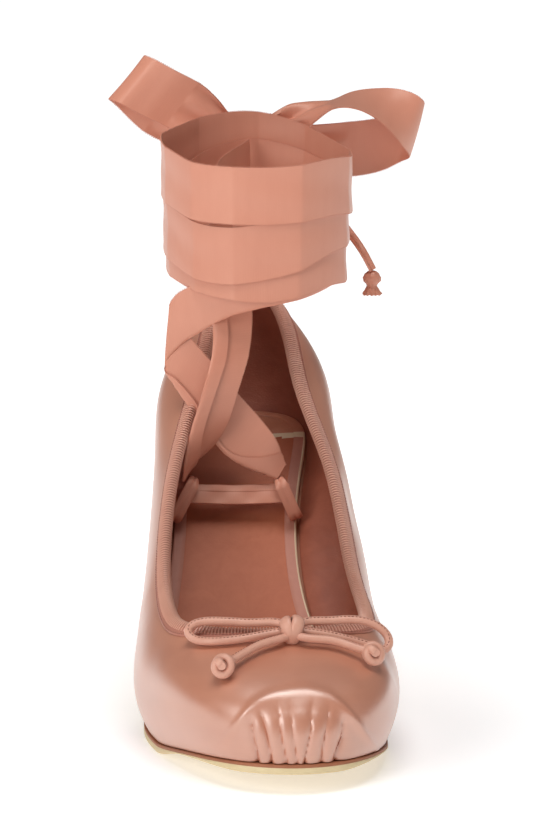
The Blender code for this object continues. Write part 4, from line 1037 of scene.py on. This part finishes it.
innerRiserRoute = [
    (0.211, 0.705, 0.554, 0.50, 0.30, 0.80, 0.30), (0.110, 0.703, 0.588, 0.55, 0.10, 0.80, 0.62), (-0.068, 0.706, 0.636, 0.60, 0.10, 0.75, 0.88),
    (-0.262, 0.708, 0.705, 0.65, 0.05, 0.75, 0.88), (-0.420, 0.714, 0.772, 0.62, 0.00, 0.78, 0.84), (-0.570, 0.723, 0.832, 0.38, 0.00, 0.92, 0.88),
    (-0.690, 0.732, 0.893, 0.08, 0.00, 0.99, 1.00), (-0.610, 0.724, 0.936, -0.08, 0.00, 0.99, 0.92), (-0.460, 0.708, 0.972, -0.14, 0.00, 0.99, 0.88),
    (-0.260, 0.682, 1.022, -0.20, 0.00, 1.00, 0.98),(0.000, 0.656, 1.052, -0.10, 0.00, 1.00, 1.00), (0.295, 0.664, 1.069, -0.20, 0.00, 1.00, 1.00),
    (0.530, 0.700, 1.084, -0.10, 0.00, 1.00, 1.00), (0.682, 0.758, 1.091, 0.00, 0.00, 1.00, 1.00), (0.750, 0.821, 1.098, 0.00, 0.00, 1.00, 1.00),
]
outerRiserRoute = [
    (-0.557, 0.705, 0.552, 0.30, 0.90, 0.30, 0.55), (-0.473, 0.688, 0.602, 0.70, 0.60, 0.20, 0.66), (-0.390, 0.673, 0.673, 0.92, 0.35, 0.15, 0.74),
    (-0.300, 0.669, 0.765, 0.92, 0.35, 0.10, 0.74), (-0.205, 0.682, 0.864, 0.93, 0.32, 0.00, 0.72), (-0.180, 0.712, 0.956, 0.95, 0.20, 0.10, 0.74),
    (-0.230, 0.735, 1.062, 0.85, 0.00, 0.50, 0.80), (-0.300, 0.760, 1.160, 0.40, 0.00, 0.90, 0.90), (-0.285, 0.810, 1.228, 0.10, 0.00, 1.00, 1.00),
    (-0.170, 0.880, 1.248, 0.00, 0.00, 1.00, 1.00), (-0.030, 0.945, 1.256, 0.00, 0.00, 1.00, 1.00), (0.068, 0.992, 1.262, 0.00, 0.00, 1.00, 1.00),
]
instepRoute = [(-0.614, 0.707, 0.504, 0.00, 0.50, 0.85, 1.00), (-0.180, 0.710, 0.497, 0.00, 0.50, 0.85, 1.00), (0.285, 0.706, 0.499, 0.00, 0.50, 0.85, 1.00)]
leftBowRoute = [
    (-0.40, 0.01, 0.17, 0.35, 0.00, 0.94, 0.50), (-0.72, 0.04, 0.33, 0.50, -0.10, 0.86, 0.80), (-1.16, 0.03, 0.60, 0.58, -0.15, 0.80, 1.00),
    (-1.66, 0.00, 0.86, 0.58, -0.08, 0.81, 1.00), (-2.02, 0.06, 1.05, 0.62, 0.00, 0.78, 1.00), (-2.16, 0.26, 1.08, 0.64, 0.00, 0.77, 1.00),
    (-2.02, 0.46, 0.93, 0.64, 0.00, 0.77, 1.00), (-1.52, 0.52, 0.44, 0.62, 0.00, 0.79, 1.00), (-0.96, 0.40, 0.12, 0.45, 0.00, 0.90, 0.80),
    (-0.50, 0.20, 0.00, 0.30, 0.00, 0.95, 0.50),
]
rightBowRoute = [
    (0.42, 0.00, 0.08, -0.30, 0.30, 0.92, 0.50), (0.78, 0.02, 0.24, -0.22, 0.62, 0.76, 0.66), (1.15, -0.08, 0.44, -0.10, 0.96, 0.25, 0.86),
    (1.54, -0.14, 0.59, 0.00, 1.00, 0.00, 1.00),(1.95, -0.16, 0.66, 0.00, 0.98, 0.18, 1.00), (2.40, -0.16, 0.57, 0.05, 0.87, 0.49, 1.00),
    (2.79, -0.12, 0.38, 0.16, 0.55, 0.82, 1.00), (3.05, 0.02, 0.17, 0.25, 0.15, 0.96, 1.00), (3.12, 0.22, 0.04, 0.26, 0.00, 0.96, 1.00),
    (2.98, 0.42, -0.06, 0.24, 0.00, 0.97, 1.00), (2.60, 0.52, -0.22, 0.12, 0.00, 1.00, 1.00), (1.90, 0.52, -0.33, 0.00, 0.00, 1.00, 1.00),
    (1.25, 0.42, -0.31, 0.00, 0.00, 1.00, 0.90), (0.70, 0.28, -0.19, 0.00, 0.00, 1.00, 0.70), (0.44, 0.15, -0.07, 0.00, 0.00, 1.00, 0.50),
]
innerTailRoute = [
    (0.20, 0.00, -0.34, -0.10, 1.00, 0.10, 0.30), (0.72, -0.08, -0.66, -0.10, 1.00, 0.10, 0.40), (1.30, -0.27, -1.10, -0.10, 1.00, 0.10, 0.38),
    (1.74, -0.72, -1.60, -0.10, 1.00, 0.10, 0.30), (2.00, -1.14, -1.96, 0.00, 1.00, 0.00, 0.24), (2.16, -1.20, -2.26, 0.00, 1.00, 0.00, 0.18),
]
outerTailRoute = [
    (-0.20, 0.02, -0.345, 1.00, 0.00, 0.00, 0.40), (-0.30, 0.22, -0.82, 1.00, 0.00, 0.00, 0.45), (-0.35, 0.32, -1.42, 1.00, 0.00, 0.00, 0.45),
    (-0.33, 0.28, -2.02, 1.00, 0.00, 0.00, 0.20),
]
tieKnotRadii, tailKnotRadii = (0.0080, 0.0042, 0.0070), (0.0032, 0.0028, 0.0044)
knotMiddle = np.array([ribbon["wrapCentre"], ribbon["wrapBehindBall"] + ribbon["wrapDepth"] / 2 + shoe["clear"] + tieKnotRadii[1],
                       shoe["wrapFoot"] + 2.34 * ribbon["width"]])


def shoeRoute(route):
    rows = np.array(route, float)
    rows[:, 0] *= shoe["ballHalf"]
    rows[:, 1] = rows[:, 1] * shoe["length"] - shoe["ballFromToe"]
    rows[:, 2] *= shoe["wrapFoot"]
    return rows


def knotRoute(route):
    rows = np.array(route, float)
    rows[:, :3] = rows[:, :3] * ribbon["width"] + knotMiddle
    return rows


def gathered(s, full, folds, phase):
    # section of a ribbon drawn in to a share of its width: its ripples are as deep as its whole cloth needs
    across = (s - 0.5) * full * ribbon["width"]
    ripple = np.cos(2 * math.pi * folds * s + phase)
    shallow, deep = 0.0, ribbon["width"] / 2
    for _ in range(24):
        depth = (shallow + deep) / 2
        cloth = np.hypot(np.diff(across), depth * np.diff(ripple)).sum()
        shallow, deep = (depth, deep) if cloth < ribbon["width"] else (shallow, depth)
    return across, depth * ripple


def foldedOver(s, full, gap):
    # section of a ribbon folded lengthwise, its first part lying behind the rest
    turn = min(1 - full, 0.5)
    soft = 0.02
    away = np.sqrt((s - turn)**2 + soft**2)
    return (away - (1 - turn) / 2) * ribbon["width"] * full / (1 - turn), -gap * (1 - np.tanh((s - turn) / 0.05)) / 2


def stripGrid(centre, lean, sections, thick, closed=False):
    # sections is (stations, across, 2): place along the lean and out of the cloth
    if closed:
        ahead = unit(np.roll(centre, -1, 0) - np.roll(centre, 1, 0))
    else:
        ahead = unit(np.gradient(centre, axis=0))
    lean = unit(np.array(lean, float))  # at a fold the sections lie along the fold, not square to the path
    out = unit(np.cross(ahead, lean))
    slope = unit(np.gradient(sections, axis=1))
    square = np.stack([-slope[..., 1], slope[..., 0]], -1)
    front, back = sections + square * thick / 2, sections - square * thick / 2
    ring = np.concatenate([front, back[:, ::-1]], 1)
    grid = centre[:, None] + ring[..., :1] * lean[:, None] + ring[..., 1:] * out[:, None]
    edges = [(centre + sections[:, k, :1] * lean + sections[:, k, 1:] * out,
              unit(slope[:, k, :1] * lean + slope[:, k, 1:] * out) * side) for k, side in ((0, -1), (-1, 1))]
    return grid, edges


def stripUv(grid, closed):
    stations, ring = grid.shape[:2]
    middle = grid.mean(1)
    step = np.linalg.norm(np.diff(middle, axis=0, append=middle[:1]), axis=1)
    u = np.concatenate([[0], np.cumsum(step)])[:stations + closed]
    half = ring // 2
    v = np.concatenate([np.linspace(0, ribbon["width"], half), np.linspace(ribbon["width"], 0, half), [0]])
    return np.stack(np.broadcast_arrays(v[None, :], u[:, None]), -1)


def ribbonPiece(name, grid, edges, closed, replaced):
    piece = gridPiece(name, grid, stripUv(grid, closed), closed, True, [ribbonSatin], ends=not closed)
    picots = repeatAlong(name + "Picots", [(line, up, closed) for line, up in edges], picotShape, {"pitch": ribbon["picotPitch"], "vary": 0.1}, ribbonSatin)
    for thing in (piece, picots):
        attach(thing, "root")
    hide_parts(*replaced)
    return piece


def turnPiece(name, layer, column, replaced):
    # one turn round the ankle, with soft facets where the ribbon was pulled over bone and tendon
    turns = np.arange(ribbon["turnStations"]) / ribbon["turnStations"]
    lifts = ringCurve(wrapTable[:, 0], wrapTable[:, column], 1.0, turns)
    inward = ribbon["thick"] / 2 + (3 - layer) * ribbon["pitch"]
    angle = turns * 2 * math.pi
    facet = ribbon["cornerOut"] + 0.0002 * np.cos(5 * angle + 0.6 + layer)
    corners = np.append(wrapCorners, wrapCorners[0] + 1) * 2 * math.pi
    seen = np.where(angle < corners[0], angle + 2 * math.pi, angle)
    share = ribbon["cornerShare"]
    across = share * np.interp(seen, corners, np.sin(corners)) + (1 - share) * np.sin(angle)
    deep = share * np.interp(seen, corners, np.cos(corners)) + (1 - share) * np.cos(angle)
    x = ribbon["wrapCentre"] + (ribbon["wrapWidth"] / 2 - inward + facet) * across
    y = ribbon["wrapBehindBall"] - (ribbon["wrapDepth"] / 2 - inward + facet) * deep
    centre = np.stack([x, y, shoe["wrapFoot"] + lifts * ribbon["width"]], 1)
    s = np.linspace(0, 1, ribbon["across"])
    cup = 0.00025 * (1 - (2 * s - 1)**2)[None] + 0.00012 * np.sin(2 * math.pi * s[None] * 1.5 + 3 * angle[:, None])
    sections = np.stack([np.broadcast_to((s - 0.5) * ribbon["width"], (len(turns), len(s))), -cup], -1)
    lean = np.broadcast_to((0, 0, 1.0), centre.shape)
    grid, edges = stripGrid(centre, lean, sections, ribbon["thick"], True)
    return ribbonPiece(name, grid, edges, True, replaced)


def runPiece(name, route, replaced, folds=2, foldGap=None, cup=0.0003, sway=0.8):
    path = openCurve(route, ribbon["stations"])
    centre, lean, full = path[:, :3], path[:, 3:6], np.clip(path[:, 6], 0.15, 1)
    s = np.linspace(0, 1, ribbon["across"] if foldGap is None and folds < 3 else 33)
    along = np.linspace(0, 1, len(path))
    rows = []
    for f, w in zip(full, along):
        if foldGap is not None:
            x, o = foldedOver(s, f, foldGap)
        else:
            x, o = gathered(s, min(f, 1.0), folds, 1.1 + sway * w)
        rows.append(np.stack([x, o + cup * (1 - (2 * s - 1)**2)], -1))
    sections = np.array(rows)
    grid, edges = stripGrid(centre, lean, sections, ribbon["thick"])
    return ribbonPiece(name, grid, edges, False, replaced)


turnPiece("turnLow", 1, 1, ["tie_turn_low"])
turnPiece("turnMiddle", 2, 2, ["tie_turn_middle"])
turnPiece("turnTop", 3, 3, ["tie_turn_top"])
runPiece("riserInner", shoeRoute(innerRiserRoute), ["tie_riser_inner"], foldGap=0.0007)
runPiece("riserOuter", shoeRoute(outerRiserRoute), ["tie_riser_outer"], foldGap=0.0009)
runPiece("tieBowOuter", knotRoute(leftBowRoute), ["tie_bow_outer"])
runPiece("tieBowInner", knotRoute(rightBowRoute), ["tie_bow_inner"])
runPiece("tieTailInner", knotRoute(innerTailRoute), ["tie_tail_inner"], folds=4)
runPiece("tieTailOuter", knotRoute(outerTailRoute), ["tie_tail_outer"], folds=4)


def instepPiece():
    # ribbon folded lengthwise in three: a narrow front fold with its picot edge along the top
    path = openCurve(shoeRoute(instepRoute), 80)
    centre, lean = path[:, :3], path[:, 3:6]
    s = np.linspace(0, 1, 41)
    x = np.interp(s, [0, 0.14, 0.20, 0.50, 0.56, 0.86, 0.92, 1.0], [0.0032, 0.0010, 0.0008, -0.0034, -0.0034, 0.0030, 0.0030, -0.0024])
    o = np.interp(s, [0, 0.14, 0.20, 0.50, 0.56, 0.86, 0.92, 1.0], [0.0009, 0.0009, 0.0007, 0.0005, -0.0005, -0.0006, 0.0001, 0.0002])
    sag = np.sin(np.linspace(0, math.pi, len(path)))
    sections = np.stack([np.broadcast_to(x, (len(path), len(s))), o[None] + 0.0002 * np.sin(7 * np.linspace(0, math.pi, len(path)))[:, None] * np.cos(9 * s)[None]], -1)
    centre = centre + np.outer(sag, (0, 0, -0.0002))
    grid, edges = stripGrid(centre, lean, sections, 0.0003)
    return ribbonPiece("instepRun", grid, edges[:1], False, ["tie_instep"])


instepPiece()


def ribbonLoop(name, across, lean, top, replaced):
    # a narrow satin strip sewn beside the sock and doubled round the folded ribbon
    y = instepRoute[0][1] * shoe["length"] - shoe["ballFromToe"]
    outside, strip = 0.0036, 0.0045
    sockTopLevel = shoe["sole"] + shoe["clear"] + shoe["sock"]
    rise = (levelZ(y + 0.001, sockTopLevel) - levelZ(y - 0.001, sockTopLevel)) / 0.002
    seatZ, headZ = levelZ(y, sockTopLevel), top * shoe["wrapFoot"]
    tilt = abs(lean) * shoe["ballHalf"] / (headZ - seatZ)
    footZ = seatZ + (outside + 0.0007) * math.sqrt(1 + rise**2) + tilt * strip / 2
    foot = np.array([across * shoe["ballHalf"], y, footZ])
    head = np.array([(across + lean) * shoe["ballHalf"], y, headZ])
    up, side = unit(head - foot), np.array([0.0, 1.0, 0.0])
    turns = np.linspace(0, 2 * math.pi, 65)[:-1]
    centre = np.array([(head if math.sin(t) > 0 else foot) + outside * (math.cos(t) * side + math.sin(t) * up) for t in turns])
    s = np.linspace(0, 1, 9)
    pinch = 1 - 0.35 * bell(turns, math.pi / 2, 0.9)
    sections = np.stack([(s - 0.5)[None] * strip * pinch[:, None], 0.0002 * np.cos(4 * math.pi * s)[None] * np.ones((64, 1))], -1)
    grid, edges = stripGrid(centre, np.broadcast_to(np.cross(up, side), centre.shape), sections, 0.0007, True)
    piece = gridPiece(name, grid, stripUv(grid, True), True, True, [ribbonSatin])
    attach(piece, "root")
    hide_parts(replaced)
    return piece


ribbonLoop("ribbonLoopOuter", -0.622, 0.100, 0.519, "ribbon_loop_outer")
ribbonLoop("ribbonLoopInner", 0.307, -0.080, 0.514, "ribbon_loop_inner")


def tieKnotPiece():
    # the bow's knot: one gathered turn of ribbon round the middle of the loops
    turns = np.linspace(0, 2 * math.pi, 97)[:-1]
    centre = knotMiddle + np.stack([0.0008 * np.sin(turns), tieKnotRadii[1] * 0.72 * np.cos(turns), tieKnotRadii[2] * 0.86 * np.sin(turns)], 1)
    s = np.linspace(0, 1, 41)
    full = 0.74 - 0.06 * np.cos(2 * turns)
    rows = []
    for f, t in zip(full, turns):
        x = (s - 0.5) * f * 0.020
        o = 0.0007 * np.cos(2 * math.pi * 3.5 * s + 0.5 * math.sin(t)) - 0.0016 * (2 * s - 1)**4
        rows.append(np.stack([x, -o], -1))
    grid, edges = stripGrid(centre, np.broadcast_to((1.0, 0, 0), centre.shape), np.array(rows), 0.0006, True)
    piece = gridPiece("tieKnot", grid, stripUv(grid, True), True, True, [ribbonSatin])
    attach(piece, "root")
    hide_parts("tie_knot")


def tailKnot(name, end, replaced):
    # a tight knot in a ribbon's end, with its frayed end spreading below
    middle = end - (0, 0, shoe["clear"] + tailKnotRadii[2])
    turns = np.arange(40) * 2 * math.pi / 40
    rings = []
    for h, r in ((1.0, 0.12), (0.93, 0.45), (0.7, 0.8), (0.4, 1.0), (0.1, 0.95), (-0.15, 0.62), (-0.3, 0.55), (-0.55, 0.75), (-0.8, 0.95), (-1.0, 1.05), (-0.97, 0.6), (-0.9, 0.1)):
        pleat = 1 + 0.10 * np.cos(9 * turns + 6 * h) + (0.06 * np.cos(17 * turns) if h < -0.5 else 0)
        lift = tailKnotRadii[2] * h + (0.0003 * np.cos(13 * turns) if h <= -0.9 and r > 0.5 else 0) * np.ones(40)
        rings.append(np.stack([middle[0] + tailKnotRadii[0] * r * pleat * np.cos(turns), middle[1] + tailKnotRadii[1] * r * pleat * np.sin(turns), middle[2] + lift], 1))
    grid = np.array(rings)
    piece = gridPiece(name, grid, arcUv(grid, False, True), False, True, [ribbonSatin], flip=True)
    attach(piece, "root")
    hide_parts(replaced)


tieKnotPiece()
tailKnot("tailKnotInner", np.array(innerTailRoute[-1][:3]) * ribbon["width"] + knotMiddle, "tie_tail_inner_knot")
tailKnot("tailKnotOuter", np.array(outerTailRoute[-1][:3]) * ribbon["width"] + knotMiddle, "tie_tail_outer_knot")
print("ankle ribbon tied")

for shape in (stitchShape, picotShape, ribShape):
    bpy.data.objects.remove(shape, do_unlink=True)

# Floor, with a painted shadow round the shoe, and soft studio light
# the floor's glow close to the shoe is lowered, a painted shadow round it
studio = {"floor": 6.0, "world": 0.14, "floorGlow": 0.88, "paintedShadowGlow": 0.42, "key": 16.0, "top": 9.5, "side": 0.3}


def makeStudio(facts):
    mesh = bpy.data.meshes.new("studioFloor")
    r = facts["floor"]
    mesh.from_pydata([(-r, -r, 0), (r, -r, 0), (r, r * 3, 0), (-r, r * 3, 0)], [], [(0, 1, 2, 3)])
    floor = bpy.data.objects.new("studioFloor", mesh)
    floor.location.z = -0.0002
    material, tree, shader = startMaterial("palePaper", {"Roughness": 0.8, "Emission Strength": facts["floorGlow"], "Emission Color": (1, 1, 1, 1)})
    patch = put(tree, "ShaderNodeTexNoise", {"Scale": 2.0})
    tree.links.new(mixColours(tree, patch.outputs[0], (0.86, 0.86, 0.86, 1), (0.88, 0.88, 0.88, 1)), shader.inputs["Base Color"])
    place = put(tree, "ShaderNodeTexCoord").outputs["Object"]  # the paper glows less near the shoe: a painted shadow round it, which also lets its real soft shadow show
    away = put(tree, "ShaderNodeVectorMath", {0: place}, operation="LENGTH").outputs["Value"]
    share = put(tree, "ShaderNodeMapRange", {"Value": away, "From Min": 0.07, "From Max": 0.26}).outputs[0]
    tree.links.new(mixColours(tree, share, (facts["paintedShadowGlow"],) * 3 + (1,), (1, 1, 1, 1)), shader.inputs["Emission Color"])
    mesh.materials.append(material)
    scene.collection.objects.link(floor)
    world = bpy.data.worlds.new("studioWorld")
    world.use_nodes = True
    world.node_tree.nodes["Background"].inputs["Color"].default_value = (1, 1, 1, 1)
    world.node_tree.nodes["Background"].inputs["Strength"].default_value = facts["world"]
    scene.world = world
    for name, power, place, size, aim in (
        ("keyLight", facts["key"], (-1.4, -1.35, 0.9), 1.0, (0, 0, 0.1)),
        ("topLight", facts["top"], (0.0, -0.32, 1.3), 0.75, (0, 0, 0.04)),
        ("sideLight", facts["side"], (1.3, -0.3, 0.7), 0.6, (0, 0, 0.1)),
    ):
        lamp = bpy.data.lights.new(name, "AREA")
        lamp.energy = power
        lamp.size = size
        light = bpy.data.objects.new(name, lamp)
        light.location = place
        light.rotation_euler = (Vector(aim) - Vector(place)).to_track_quat("-Z", "Y").to_euler()
        scene.collection.objects.link(light)


makeStudio(studio)
print("studio lit")
